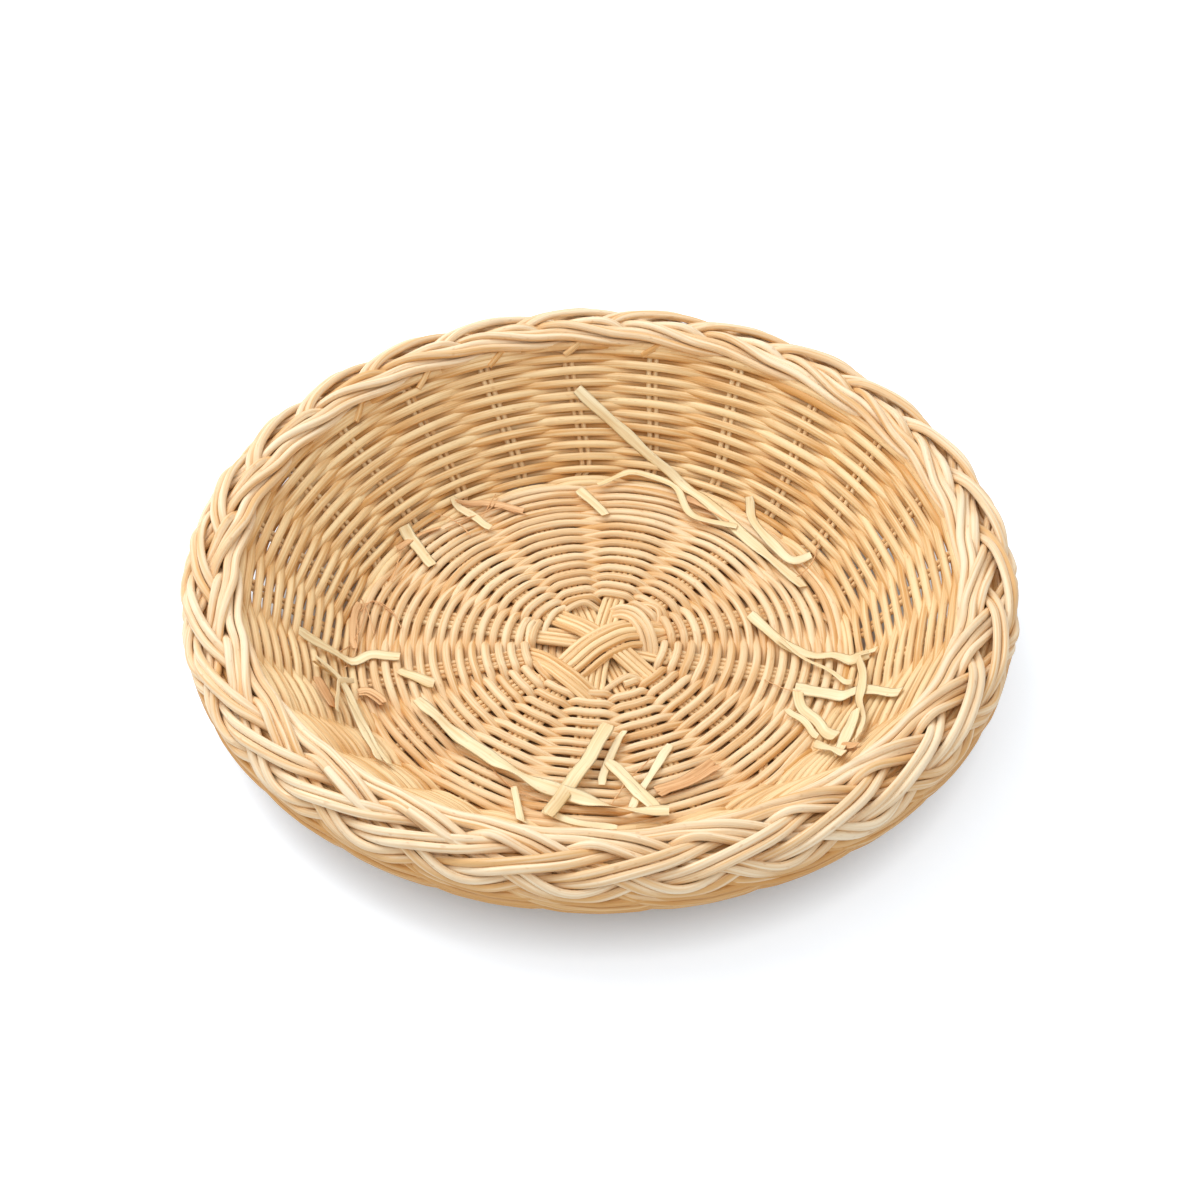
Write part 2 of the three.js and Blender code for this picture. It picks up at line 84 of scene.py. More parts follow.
# %% A short way to add nodes
class Nodes:
    """Adds nodes to a material's tree or to a Geometry Nodes tree."""

    def __init__(self, tree):
        self.tree = tree
        tree.nodes.clear()

    def add(self, kind, settings=None, sockets=None):
        node = self.tree.nodes.new(kind)
        for name, value in (settings or {}).items():
            setattr(node, name, value)
        for name, value in (sockets or {}).items():
            self.feed(node.inputs[name], value)
        return node

    def feed(self, socket, value):
        if isinstance(value, Number):
            value = value.socket
        if isinstance(value, bpy.types.NodeSocket):
            self.tree.links.new(value, socket)
        else:
            socket.default_value = value

    def number(self, socket):
        return Number(self, socket)

    def vector(self, operation, a, b=None, out=0):
        """One Vector Math node; b may be a vector, a number for Scale, or nothing."""
        second = {} if b is None else {("Scale" if operation == "SCALE" else 1): b}
        node = self.add("ShaderNodeVectorMath", {"operation": operation}, {0: a, **second})
        return node.outputs[out]

    def mix(self, share, a, b):
        """A colour between a and b."""
        node = self.add("ShaderNodeMix", {"data_type": "RGBA"})
        self.feed(node.inputs[0], share)
        self.feed(node.inputs[6], a)
        self.feed(node.inputs[7], b)
        return node.outputs[2]


print("class:", Nodes.__name__)

# %% [markdown]
# Patterns are made by arithmetic, and a chain of Math nodes is hard to read in a script. So the next
# class stands for a number that varies over a surface. A formula is then written with `+`, `-` and
# `*`, as on paper, and becomes Math nodes by itself.

# %% Formulas that become Math nodes
class Number:
    """A number that varies over a surface."""

    def __init__(self, nodes, socket):
        self.nodes = nodes
        self.socket = socket

    def maths(self, operation, a, b=0.0, clamp=False):
        settings = {"operation": operation, "use_clamp": clamp}
        node = self.nodes.add("ShaderNodeMath", settings, {0: a, 1: b})
        return Number(self.nodes, node.outputs[0])

    def __add__(self, other):
        return self.maths("ADD", self, other)

    def __radd__(self, other):
        return self.maths("ADD", other, self)

    def __sub__(self, other):
        return self.maths("SUBTRACT", self, other)

    def __rsub__(self, other):
        return self.maths("SUBTRACT", other, self)

    def __mul__(self, other):
        return self.maths("MULTIPLY", self, other)

    def __rmul__(self, other):
        return self.maths("MULTIPLY", other, self)

    def __truediv__(self, other):
        return self.maths("DIVIDE", self, other)

    def __rtruediv__(self, other):
        return self.maths("DIVIDE", other, self)

    def clamped(self):
        return self.maths("ADD", self, 0.0, clamp=True)

    def between(self, low, high):
        """0 below low, 1 above high, and straight in between."""
        return ((self - low) / (high - low)).clamped()


print("class:", Number.__name__)

# %% [markdown]
# ## Studio: a pale floor and soft light
#
# Product photographs are taken on a white sweep under large soft lamps. The floor could be lit until
# it is white, but then the basket would be too bright as well. Instead the world and the lamps stay
# at a plain level, and the floor adds a little light of its own that only the camera and mirror rays
# see. It still gets darker where the basket shades it. Close round the basket that glow is held back,
# which paints a darker ring there: painted shadow, which keeps the soft contact shadow tight. Right
# under the basket the floor's colour is painted tan: painted shade, for the light that gets there
# through the cane.

# %% Floor
FLOOR_SIZE = 6.0
FLOOR_PALE = (0.74, 0.81, 0.89, 1)
# Painted shade: the tan that the floor is given right under the basket, and where it turns to pale.
FLOOR_SHADE_TAN = (0.66, 0.42, 0.22, 1)
SHADE_FROM, SHADE_TO = 0.09, 0.11  # between these distances the floor turns from tan to pale
GLOW = 0.5
# Painted shadow: nearer the basket than these distances the floor gets less glow or none, so a darker
# ring is painted round it.
GLOW_FROM, GLOW_TO = 0.114, 0.146  # and between these it begins to glow


def seen_directly(nodes):
    """1 for rays that show the background itself, in the camera, a mirror or glass."""
    path = nodes.add("ShaderNodeLightPath").outputs
    seen = nodes.number(path["Is Camera Ray"]) + path["Is Glossy Ray"]
    return (seen + path["Is Transmission Ray"]).clamped()


def pale_floor():
    material = bpy.data.materials.new("studio_floor")
    material.use_nodes = True
    nodes = Nodes(material.node_tree)
    place = nodes.add("ShaderNodeTexCoord").outputs["Object"]
    away = nodes.number(nodes.vector("LENGTH", place, out="Value"))
    # Painted shade: the floor's colour is mixed to tan right under the basket.
    colour = nodes.mix(away.between(SHADE_FROM, SHADE_TO), FLOOR_SHADE_TAN, FLOOR_PALE)
    paint = nodes.add("ShaderNodeBsdfDiffuse", sockets={"Color": colour})
    # Painted shadow: the glow is held back close round the basket.
    strength = GLOW * away.between(GLOW_FROM, GLOW_TO) * seen_directly(nodes)
    glow = nodes.add("ShaderNodeEmission", sockets={"Strength": strength})
    both = nodes.add("ShaderNodeAddShader", sockets={0: paint.outputs[0], 1: glow.outputs[0]})
    nodes.add("ShaderNodeOutputMaterial", sockets={"Surface": both.outputs[0]})
    return material


half = FLOOR_SIZE / 2
floor_mesh = bpy.data.meshes.new("studio_floor")
corners = [(-half, -half, 0), (half, -half, 0), (half, half, 0), (-half, half, 0)]
floor_mesh.from_pydata(corners, [], [(0, 1, 2, 3)])
floor_mesh.materials.append(pale_floor())
studio_floor = bpy.data.objects.new("studio_floor", floor_mesh)
bpy.context.collection.objects.link(studio_floor)
print("studio floor:", FLOOR_SIZE, "m wide")

# %% [markdown]
# The world is light from all around. Rays that show the background itself see it white, as in the
# photograph, while the light that it throws on the basket stays lower. An image of a real studio
# would give reflections, but dull cane has none. Two large square lamps add direction: a strong one
# from behind on the left, as the shading in the photograph has it, and a weak one from the front.

# %% World and lamps
SKY_LEVEL = 0.66
world = bpy.data.worlds.new("studio")
world.use_nodes = True
bpy.context.scene.world = world
sky = Nodes(world.node_tree)
sky_level = SKY_LEVEL + (1 - SKY_LEVEL) * seen_directly(sky)
background = sky.add("ShaderNodeBackground", sockets={"Color": (1, 1, 1, 1), "Strength": sky_level})
sky.add("ShaderNodeOutputWorld", sockets={"Surface": background.outputs[0]})


def soft_lamp(name, place, size, power):
    """A large square lamp that faces the basket."""
    data = bpy.data.lights.new(name, "AREA")
    data.size = size
    data.energy = power
    lamp = bpy.data.objects.new(name, data)
    lamp.location = place
    lamp.rotation_euler = (CAMERA_AIM - Vector(place)).to_track_quat("-Z", "Y").to_euler()
    bpy.context.collection.objects.link(lamp)


soft_lamp("key_lamp", (-0.76, 0.6, 1.4), size=1.3, power=20)
soft_lamp("front_lamp", (-0.1, -1.0, 1.8), size=1.2, power=6)
print("sky level:", SKY_LEVEL, "for what it lights, and 1 where it is seen")

# %% [markdown]
# ## The finish of peeled rattan cane
#
# Peeled cane is cream to honey coloured, with long fine streaks of tan along it, and a dull satin
# surface. An ordinary noise texture would give clouds. Here each cane carries its own coordinate,
# `grain`: two numbers for the place round the cane and one for the distance along it. Noise that is
# stretched along the third number becomes streaks that follow every bend. A second number, `tint`,
# says how pale or how tan one cane is. On some canes it also carries painted highlight and painted
# shade, set lighter or darker by the cane's place in the weave.

# %% Cane finishes
BLUSH = (0.56, 0.27, 0.09, 1)


def rattan(slot, pale, tan, warm=0.3):
    """Peeled cane: pale with tan streaks along it, and a few broader warm patches."""
    material = bpy.data.materials.new(f"peeled_{slot}")
    material["slot"] = slot
    material.use_nodes = True
    nodes = Nodes(material.node_tree)
    grain = nodes.add("ShaderNodeAttribute", {"attribute_name": "grain"}).outputs["Vector"]
    tint = nodes.number(nodes.add("ShaderNodeAttribute", {"attribute_name": "tint"}).outputs["Fac"])

    def along(scale, stretch, detail=2.0):
        place = nodes.vector("MULTIPLY", grain, (1, 1, 1 / stretch))
        sockets = {"Vector": place, "Scale": scale, "Detail": detail}
        return nodes.number(nodes.add("ShaderNodeTexNoise", sockets=sockets).outputs["Fac"])

    fine = along(scale=1250, stretch=45)
    broad = along(scale=420, stretch=22)
    patches = along(scale=60, stretch=1)
    specks = along(scale=900, stretch=2.5, detail=0.0)
    # tint holds each cane's own tone, and on some canes painted highlight and painted shade as well.
    share = 0.55 + (fine - 0.5) * 2.1 + (broad - 0.5) * 1.5 + tint
    colour = nodes.mix(share.clamped(), (*tan, 1), (*pale, 1))
    blush = patches.between(0.55, 0.8) * warm + specks.between(0.74, 0.84) * 0.35
    colour = nodes.mix(blush.clamped(), colour, BLUSH)
    roughness = 0.42 + (1 - fine) * 0.22
    bump_sockets = {"Height": fine + broad * 0.6, "Strength": 0.35, "Distance": 0.00012}
    bump = nodes.add("ShaderNodeBump", sockets=bump_sockets)
    surface = nodes.add("ShaderNodeBsdfPrincipled", sockets={
        "Base Color": colour,
        "Roughness": roughness,
        "Normal": bump.outputs[0],
        "Specular IOR Level": 0.42,
    })
    nodes.add("ShaderNodeOutputMaterial", sockets={"Surface": surface.outputs[0]})
    return material


floor_finish = rattan("floor_cane", pale=(0.89, 0.69, 0.43), tan=(0.68, 0.37, 0.13))
wall_finish = rattan("wall_cane", pale=(0.90, 0.68, 0.38), tan=(0.64, 0.33, 0.10), warm=0.4)
stake_finish = rattan("stake_cane", pale=(0.93, 0.71, 0.41), tan=(0.68, 0.37, 0.13))
border_finish = rattan("border_cane", pale=(0.92, 0.75, 0.52), tan=(0.74, 0.44, 0.18))
print("finishes:", [m.name for m in (floor_finish, wall_finish, stake_finish, border_finish)])

# %% [markdown]
# ## One tree for every cane
#
# A cane is a round or slightly flat rod that follows a path. It could be a curve with a bevel, but a
# bevel can't be flattened or carry the streaks' coordinate. So a small Geometry Nodes tree does it.
# Each path comes in as a line of mesh edges whose points carry five values: which way the cane's flat
# side faces, its width, its flatness, its tint, and where its streaks start. The tree turns the lines
# into curves, sweeps a circle along them, presses the circle flat along the face, and stores the
# coordinate for the streaks.

# %% The tree that sweeps canes along paths
def cane_tree():
    tree = bpy.data.node_groups.new("canes_along_paths", "GeometryNodeTree")
    sockets = tree.interface
    sockets.new_socket("Paths", in_out="INPUT", socket_type="NodeSocketGeometry")
    sockets.new_socket("Sides", in_out="INPUT", socket_type="NodeSocketInt")
    sockets.new_socket("Finish", in_out="INPUT", socket_type="NodeSocketMaterial")
    sockets.new_socket("Canes", in_out="OUTPUT", socket_type="NodeSocketGeometry")
    nodes = Nodes(tree)
    given = nodes.add("NodeGroupInput").outputs

    def carried(name, kind):
        """A value that the points of the paths carry."""
        settings = {"data_type": kind}
        return nodes.add("GeometryNodeInputNamedAttribute", settings, {"Name": name}).outputs[0]

    def kept(geometry, name, kind, value):
        """Takes a value of the paths along, so that it can be read on the swept canes."""
        node = nodes.add("GeometryNodeCaptureAttribute")
        node.capture_items.new(kind, name)
        nodes.feed(node.inputs["Geometry"], geometry)
        nodes.feed(node.inputs[name], value)
        return node.outputs["Geometry"], node.outputs[name]

    def stored(geometry, name, kind, value):
        settings = {"data_type": kind, "domain": "POINT"}
        values = {"Geometry": geometry, "Name": name, "Value": value}
        return nodes.add("GeometryNodeStoreNamedAttribute", settings, values).outputs[0]

    lines = nodes.add("GeometryNodeMeshToCurve", sockets={"Mesh": given["Paths"]}).outputs[0]
    face = carried("face", "FLOAT_VECTOR")
    width = nodes.number(carried("width", "FLOAT"))
    lines = nodes.add(
        "GeometryNodeSetCurveNormal", {"mode": "FREE"}, {"Curve": lines, "Normal": face}
    ).outputs[0]
    place = nodes.add("GeometryNodeInputPosition").outputs[0]
    lines, centre = kept(lines, "Centre", "VECTOR", place)
    heading = nodes.add("GeometryNodeInputTangent").outputs[0]
    lines, heading = kept(lines, "Heading", "VECTOR", heading)
    run = nodes.add("GeometryNodeSplineParameter").outputs["Length"]
    lines, run = kept(lines, "Run", "FLOAT", run)

    circle = nodes.add(
        "GeometryNodeCurvePrimitiveCircle",
        sockets={"Resolution": given["Sides"], "Radius": 0.5},
    ).outputs[0]
    canes = nodes.add("GeometryNodeCurveToMesh", sockets={
        "Curve": lines, "Profile Curve": circle, "Scale": width, "Fill Caps": True,
    }).outputs[0]

    out = nodes.vector("SUBTRACT", place, centre)
    up = nodes.number(nodes.vector("DOT_PRODUCT", out, face, out="Value"))
    side = nodes.vector("CROSS_PRODUCT", face, heading)
    across = nodes.vector("DOT_PRODUCT", out, side, out="Value")
    start = nodes.number(carried("start", "FLOAT"))
    grain = nodes.add("ShaderNodeCombineXYZ", sockets={"X": up, "Y": across, "Z": start + run})
    canes = stored(canes, "grain", "FLOAT_VECTOR", grain.outputs[0])
    press = (nodes.number(carried("flatness", "FLOAT")) - 1) * up
    offset = nodes.vector("SCALE", face, press)
    canes = nodes.add(
        "GeometryNodeSetPosition", sockets={"Geometry": canes, "Offset": offset}
    ).outputs[0]
    canes = nodes.add("GeometryNodeSetShadeSmooth", sockets={"Geometry": canes}).outputs[0]
    canes = nodes.add("GeometryNodeRealizeInstances", sockets={"Geometry": canes}).outputs[0]
    canes = nodes.add(
        "GeometryNodeSetMaterial", sockets={"Geometry": canes, "Material": given["Finish"]}
    ).outputs[0]
    nodes.add("NodeGroupOutput", sockets={"Canes": canes})
    return tree


canes_along_paths = cane_tree()
CANE_INPUTS = {
    item.name: item.identifier
    for item in canes_along_paths.interface.items_tree
    if item.in_out == "INPUT"
}
print("tree inputs:", CANE_INPUTS)

# %% [markdown]
# ## Paths in millimetres
#
# Almost every cane goes round the basket or straight out from its middle, so places are given as an
# azimuth, a distance from the axis and a height. Nothing that is made by hand is quite even. Noise on
# each point would make a cane rough, so its small errors drift slowly along it instead. They come
# from random numbers with a fixed seed, so that every run gives the same basket.

# %% Helpers for paths
SEED = 26
chance = np.random.default_rng(SEED)


def turned(points, degrees):
    """Points turned about the basket's axis; the azimuth grows towards the right, from the front."""
    c, s = math.cos(math.radians(degrees)), math.sin(math.radians(degrees))
    x, y, z = np.moveaxis(points, -1, 0)
    return np.stack([c * x - s * y, s * x + c * y, z], -1)


def polar(azimuth, r, z):
    a = np.radians(azimuth)
    return np.stack(np.broadcast_arrays(r * np.sin(a), -r * np.cos(a), z), -1)


def smooth(t):
    t = np.clip(t, 0, 1)
    return t * t * (3 - 2 * t)


def drift(run, step, size):
    """A smooth random curve along a cane: a new value about every `step` millimetres."""
    count = int(run[-1] / step) + 3
    knots = chance.normal(0, size, count)
    at = run / step
    first = np.floor(at).astype(int)
    share = smooth(at - first)
    return knots[first] * (1 - share) + knots[first + 1] * share


def length_along(points):
    return np.concatenate([[0], np.cumsum(np.linalg.norm(np.diff(points, axis=0), axis=1))])


print("random numbers start from seed", SEED)

# %% [markdown]
# ## From paths to a piece
#
# A cane is a path with the direction that its flat side faces, a width and a thickness. The canes of
# one piece are joined into one mesh of edges, the tree runs on it, and the result is kept as a plain
# mesh, so that nothing depends on the tree later. Canes of one piece don't look the same: each gets
# its own tint and its own place in the streaks.

# %% A cane, and a piece made of canes
def cane(points, face, width, thickness, tint=0.0, closed=False):
    """One cane's path. The face is squared up to the path, as the tree expects."""
    points = np.asarray(points, float)
    face = np.broadcast_to(np.asarray(face, float), points.shape)
    heading = np.gradient(points, axis=0)
    if closed:
        heading = np.roll(points, -1, axis=0) - np.roll(points, 1, axis=0)
    heading /= np.linalg.norm(heading, axis=1, keepdims=True)
    face = face - (face * heading).sum(1, keepdims=True) * heading
    face /= np.linalg.norm(face, axis=1, keepdims=True)
    width = np.broadcast_to(width, len(points))
    return {
        "points": points,
        "closed": closed,
        "face": face,
        "width": width * MM,
        "flatness": np.broadcast_to(thickness / width, len(points)),
        "tint": np.broadcast_to(tint, len(points)) + chance.normal(0, 0.1),
        "start": np.full(len(points), chance.uniform(0, 50)),
    }


def make_piece(name, canes, finish, nodes=(), sides=10):
    """One piece of the basket, made of one or more canes."""
    points, edges = [], []
    for c in canes:
        first = len(points)
        points.extend(map(tuple, c["points"] * MM))
        edges.extend((i, i + 1) for i in range(first, len(points) - 1))
        if c["closed"]:
            edges.append((len(points) - 1, first))
    mesh = bpy.data.meshes.new(name)
    mesh.from_pydata(points, edges, [])
    for key in ("width", "flatness", "tint", "start"):
        values = np.concatenate([c[key] for c in canes])
        mesh.attributes.new(key, "FLOAT", "POINT").data.foreach_set("value", values)
    faces = np.concatenate([c["face"] for c in canes])
    mesh.attributes.new("face", "FLOAT_VECTOR", "POINT").data.foreach_set("vector", faces.ravel())
    piece = bpy.data.objects.new(name, mesh)
    bpy.context.collection.objects.link(piece)
    modifier = piece.modifiers.new("canes", "NODES")
    modifier.node_group = canes_along_paths
    modifier[CANE_INPUTS["Sides"]] = sides
    modifier[CANE_INPUTS["Finish"]] = finish
    bpy.context.view_layer.update()
    ready = piece.evaluated_get(bpy.context.evaluated_depsgraph_get())
    swept = bpy.data.meshes.new_from_object(ready)
    piece.modifiers.remove(modifier)
    piece.data = swept
    swept.name = name
    for spare in ("width", "flatness", "face", "start"):
        if spare in swept.attributes:
            swept.attributes.remove(swept.attributes[spare])
    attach(piece, "root")
    if nodes:
        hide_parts(*nodes)
    return piece


print("helpers:", cane.__name__, "and", make_piece.__name__)

# %% [markdown]
# ## The surface that the weave follows
#
# Floor and wall are one surface: a floor that is slightly domed at the middle, a tight bend, and a
# straight wall that leans out. A distance along that profile gives a radius and a height, and which
# way is up from the weave. Every stake and weaver is laid out on this one profile, so the pieces
# can't miss each other.

# %% Profile of floor and wall
FLOOR_RADIUS = 93
WALL_SLOPE = math.radians(47.4)
WALL_RISE = 37
FLOOR_MIDDLE = 3.15
DOME_RISE = 1.5
DOME_RADIUS = 62
BEND_RADIUS = 8
half_turn = math.tan(WALL_SLOPE / 2)
BEND_START = FLOOR_RADIUS + FLOOR_MIDDLE * half_turn - BEND_RADIUS * half_turn
BEND_END = BEND_START + BEND_RADIUS * WALL_SLOPE
WALL_END = BEND_END + WALL_RISE / math.sin(WALL_SLOPE) - BEND_RADIUS * half_turn
RIBS = [22, 48, 77.5, 107, 137, 168, 198.5, 228, 255.5, 281.5, 304.5, 327, 353.5]


def profile(s):
    """Radius, height and the upward direction (outward and up parts) at a distance s."""
    s = np.asarray(s, float)
    turn = np.clip((s - BEND_START) / BEND_RADIUS, 0, WALL_SLOPE)
    run = np.maximum(s - BEND_END, 0)
    dome = DOME_RISE * (1 - np.minimum(s / DOME_RADIUS, 1) ** 2) ** 2
    r = np.minimum(s, BEND_START) + BEND_RADIUS * np.sin(turn) + run * math.cos(WALL_SLOPE)
    z = FLOOR_MIDDLE + dome + BEND_RADIUS * (1 - np.cos(turn)) + run * math.sin(WALL_SLOPE)
    return r, z, -np.sin(turn), np.cos(turn)


def on_weave(azimuth, s, lift=0.0):
    """Points on the weave's middle, or `lift` above it, and the way up from it there."""
    r, z, out, up = profile(s)
    return polar(azimuth, r + lift * out, z + lift * up), polar(azimuth, out, up)


print("wall runs from", round(BEND_END, 1), "to", round(WALL_END, 1), "mm along the profile")

# %% [markdown]
# ## The floor's weaver
#
# The floor is randed: a single cane goes over one rib and under the next, row on row. With thirteen
# ribs, an odd number, it lands on the other side of each rib the next time round, so one endless
# spiral gives the whole pattern. Each rib is a bundle of four stakes, so the cane lies flat across it
# and then crosses steeply to the other side. A sine wave would be too soft for that: the height is
# held level over the bundle, and eased between one bundle and the next. The outer rows are beaten
# down closer than the inner ones. The cane's colour is painted paler where it comes up over a rib
# and darker where it dips under one: painted highlight and painted shade.

# %% Floor weaver: one spiral
PITCH = 2.45  # from one row to the next
TIGHT_PITCH = 2.12
TIGHT_FROM = 68
CENTRE_HOLE = 23.8
FLOOR_EDGE = 90.2
STEPS_BETWEEN_RIBS = 12
WEAVER_WIDTH = 3.1
WEAVER_THICKNESS = 2.7
WEAVER_LIFT = 1.8
LOWEST_LIFT = WEAVER_THICKNESS / 2 - FLOOR_MIDDLE  # so that no weaver is below the ground
HALF_RIB = 4.4  # half the width that the weaver crosses at a rib
rib_turns = np.array(RIBS + [RIBS[0] + 360], float)


def height_share(crossings, gap, flat):
    """+1 over a stake, -1 under it. `crossings` counts stakes passed, `flat` is half a bundle."""
    passed = np.floor(crossings)
    s = (crossings - passed) * gap
    flat = np.minimum(flat, 0.4 * gap)
    t = smooth((s - flat) / (gap - 2 * flat))
    sign = 1 - 2 * np.mod(passed, 2)
    return sign * (1 - 2 * t)


def spiral_weaver():
    loose_turns = (TIGHT_FROM - CENTRE_HOLE) / PITCH
    turns = loose_turns + (FLOOR_EDGE - TIGHT_FROM) / TIGHT_PITCH
    crossings = np.arange(0, (turns + 1) * len(RIBS), 1 / STEPS_BETWEEN_RIBS)
    whole = np.floor(crossings / len(RIBS))
    within = crossings - whole * len(RIBS)
    azimuth = np.interp(within, np.arange(len(RIBS) + 1), rib_turns)
    gap_degrees = np.diff(rib_turns)[np.minimum(within.astype(int), len(RIBS) - 1)]
    turn = whole + within / len(RIBS)
    s = np.interp(turn, [0, loose_turns, turns], [CENTRE_HOLE, TIGHT_FROM, FLOOR_EDGE])
    run = np.cumsum(np.radians(gap_degrees) * s / STEPS_BETWEEN_RIBS)
    run -= run[0]
    share = height_share(crossings, np.radians(gap_degrees) * s, HALF_RIB)
    messy = smooth((s - 80) / 10)
    s = s + drift(run, 22, 0.13) + drift(run, 17, 0.3) * messy
    lift = np.maximum(share * WEAVER_LIFT + drift(run, 30, 0.1), LOWEST_LIFT)
    points, face = on_weave(azimuth, s, lift)
    width = WEAVER_WIDTH + 0.15 * np.abs(share) + drift(run, 60, 0.1)
    # Painted highlight and shade: 0.22 * share makes the cane paler over a rib and darker where it dips
    # under.
    tint = drift(run, 160, 0.17) + drift(run, 30, 0.09) - 0.1 * messy + 0.22 * share
    return cane(points, face, width, WEAVER_THICKNESS, tint=tint)


floor_weaver = make_piece("floor_weaver", [spiral_weaver()], floor_finish, ["floor_weave"])
print("floor weaver:", len(floor_weaver.data.polygons), "faces")

# %% [markdown]
# ## The wall's two weavers
#
# Round the wall the ribs have parted into twenty-six pairs. That is an even number, so a single
# weaver would pass over the same pairs in every row. Basket makers therefore use two canes that
# chase each other: each climbs two rows per round, and one goes over where the other goes under. Up
# the wall the rows are beaten down harder, so that no light shows between them.

# %% Wall weavers: two spirals
PAIRS = 2 * len(RIBS)
WALL_WEAVE_START = 91.8
WALL_WEAVE_END = WALL_END + 3.6
PAIR_LEAN = 2.5
HALF_PAIR = 2.5  # half the width that a weaver crosses at a pair
BEATEN_OVER = 30  # how far up the wall the rows get closer and flatter
STEPS_BETWEEN_PAIRS = 10


def pair_azimuths():
    """Twenty-six pairs: one at each rib, and one half-way back to the rib before."""
    places = []
    for i, azimuth in enumerate(RIBS):
        before = (azimuth - RIBS[i - 1]) % 360
        places += [azimuth - before / 2, azimuth]
    return np.array(places)


pair_turns = pair_azimuths()
pair_turns = np.append(pair_turns, pair_turns[0] + 360)


def pair_lean(s):
    """The pairs lean to one side on their way up the wall, in degrees."""
    return PAIR_LEAN * smooth((s - BEND_END) / (WALL_END - BEND_END))


def chasing_weaver(which):
    """One of the two; its first and last rounds stay at the wall's edges, so that these are level."""
    turns = (WALL_WEAVE_END - WALL_WEAVE_START) / (2 * PITCH) + 2
    crossings = np.arange(0, turns * PAIRS, 1 / STEPS_BETWEEN_PAIRS)
    whole = np.floor(crossings / PAIRS)
    within = crossings - whole * PAIRS
    azimuth = np.interp(within, np.arange(PAIRS + 1), pair_turns)
    gap = np.diff(pair_turns)[np.minimum(within.astype(int), PAIRS - 1)]
    climb = PITCH * which + 2 * PITCH * (whole - 1 + within / PAIRS)
    s = np.clip(WALL_WEAVE_START + climb, WALL_WEAVE_START, WALL_WEAVE_END)
    r = profile(s)[0]
    run = np.cumsum(np.radians(gap) * r / STEPS_BETWEEN_PAIRS)
    run -= run[0]
    share = height_share(crossings + which, np.radians(gap) * r, HALF_PAIR)
    s = s + drift(run, 20, 0.13)
    beaten = smooth((s - BEND_END) / BEATEN_OVER)
    lift = share * (WEAVER_LIFT - 0.25 * beaten) + drift(run, 30, 0.12)
    points, face = on_weave(azimuth + pair_lean(s), s, np.maximum(lift, LOWEST_LIFT))
    width = WEAVER_WIDTH + 0.45 * beaten - 0.1 * np.abs(share) + drift(run, 50, 0.1)
    # Painted highlight and shade: 0.24 * share makes the cane paler over a pair and darker where it
    # dips under.
    tint = drift(run, 160, 0.2) + drift(run, 30, 0.1) + 0.24 * share
    return cane(points, face, width, WEAVER_THICKNESS, tint=tint)


wall_canes = [chasing_weaver(0), chasing_weaver(1)]
wall_weavers = make_piece("wall_weavers", wall_canes, wall_finish, ["wall_weave"])
print("wall weavers:", len(wall_weavers.data.polygons), "faces")

# %% [markdown]
# ## The stakes
#
# Six bundles of four stakes go right across the middle of the floor, piled on each other, and a half
# bundle makes the number of ribs odd. Out on the floor a bundle is a rib; at the floor's edge it
# parts into two pairs, which run up the wall and turn outward into the border. One path per stake
# goes the whole way, in three stretches: across the pile, along the rib, and up the wall.

# %% Paths of the stakes
ROLL = np.array([139.5, 39.5])  # the border roll's centre: distance from the axis, and height
STAKE = 2.12
STAKE_SPACING = 2.16
PAIR_SPACING = 2.75
PART_FROM, PART_TO = 76, 101
PILE_FROM, PILE_TO = 28, 5  # the pile of bundles rises between these two distances from the middle
INTO_BORDER = [  # degrees ahead, distance from the axis, and height
    (1.2, 130.3, 42.0),
    (3.5, 131.4, 42.9),
    (7.0, 132.3, 43.6),
    (11.0, 133.2, 43.9),
    (15.5, 134.6, 43.6),
    (20.0, 136.4, 42.6),
    (24.0, 138.0, 41.2),
]


def rib_to_border(rib, slot_number):
    """One stake from the weave's inner edge along its rib, up the wall and into the border."""
    azimuth = RIBS[rib]
    before = (azimuth - RIBS[rib - 1]) % 360
    target = azimuth - before / 2 if slot_number < 2 else azimuth
    in_pair = (slot_number % 2 - 0.5) * PAIR_SPACING
    in_rib = (slot_number - 1.5) * STAKE_SPACING
    s = np.arange(PILE_FROM, WALL_END + 2, 2.0)
    r = profile(s)[0]
    t = smooth((s - PART_FROM) / (PART_TO - PART_FROM))
    sideways = in_rib * (1 - t) + in_pair * t
    place = azimuth + (target - azimuth) * t + pair_lean(s) + np.degrees(sideways / r)
    return on_weave(place, s, drift(s - s[0], 12, 0.12))


def into_border(points, face):
    """The stake's end leans over to the next pair, under the plait's inner edge, and into its core."""
    azimuth = math.degrees(math.atan2(points[-1, 0], -points[-1, 1]))
    ahead, r, z = np.transpose(INTO_BORDER)
    tail = polar(azimuth + ahead, r, z)
    lean = tail - polar(azimuth + ahead, ROLL[0], ROLL[1])
    return np.concatenate([points, tail]), np.concatenate([face, lean])


print("pairs at", np.round(pair_turns[:-1] % 360, 1))

# %% [markdown]
# Across the middle a bundle runs from one rib to the rib opposite. The two are not quite in line, and
# a straight cane would have a kink at each end. So a plain bundle follows a Bezier curve whose ends
# point along the ribs. The topmost bundle turns more on its way, and follows a curve through points.

# %% Curves across the middle
RIB_PULL = 0.62
SADDLE_KNOTS = [(13.0, 4.3), (1.8, -2.4), (-9.3, -11.8), (-15.6, -15.4)]


def bezier(a, b, c, d, count):
    t = np.linspace(0, 1, count)[:, None]
    return (1 - t) ** 3 * a + 3 * t * (1 - t) ** 2 * b + 3 * t ** 2 * (1 - t) * c + t ** 3 * d


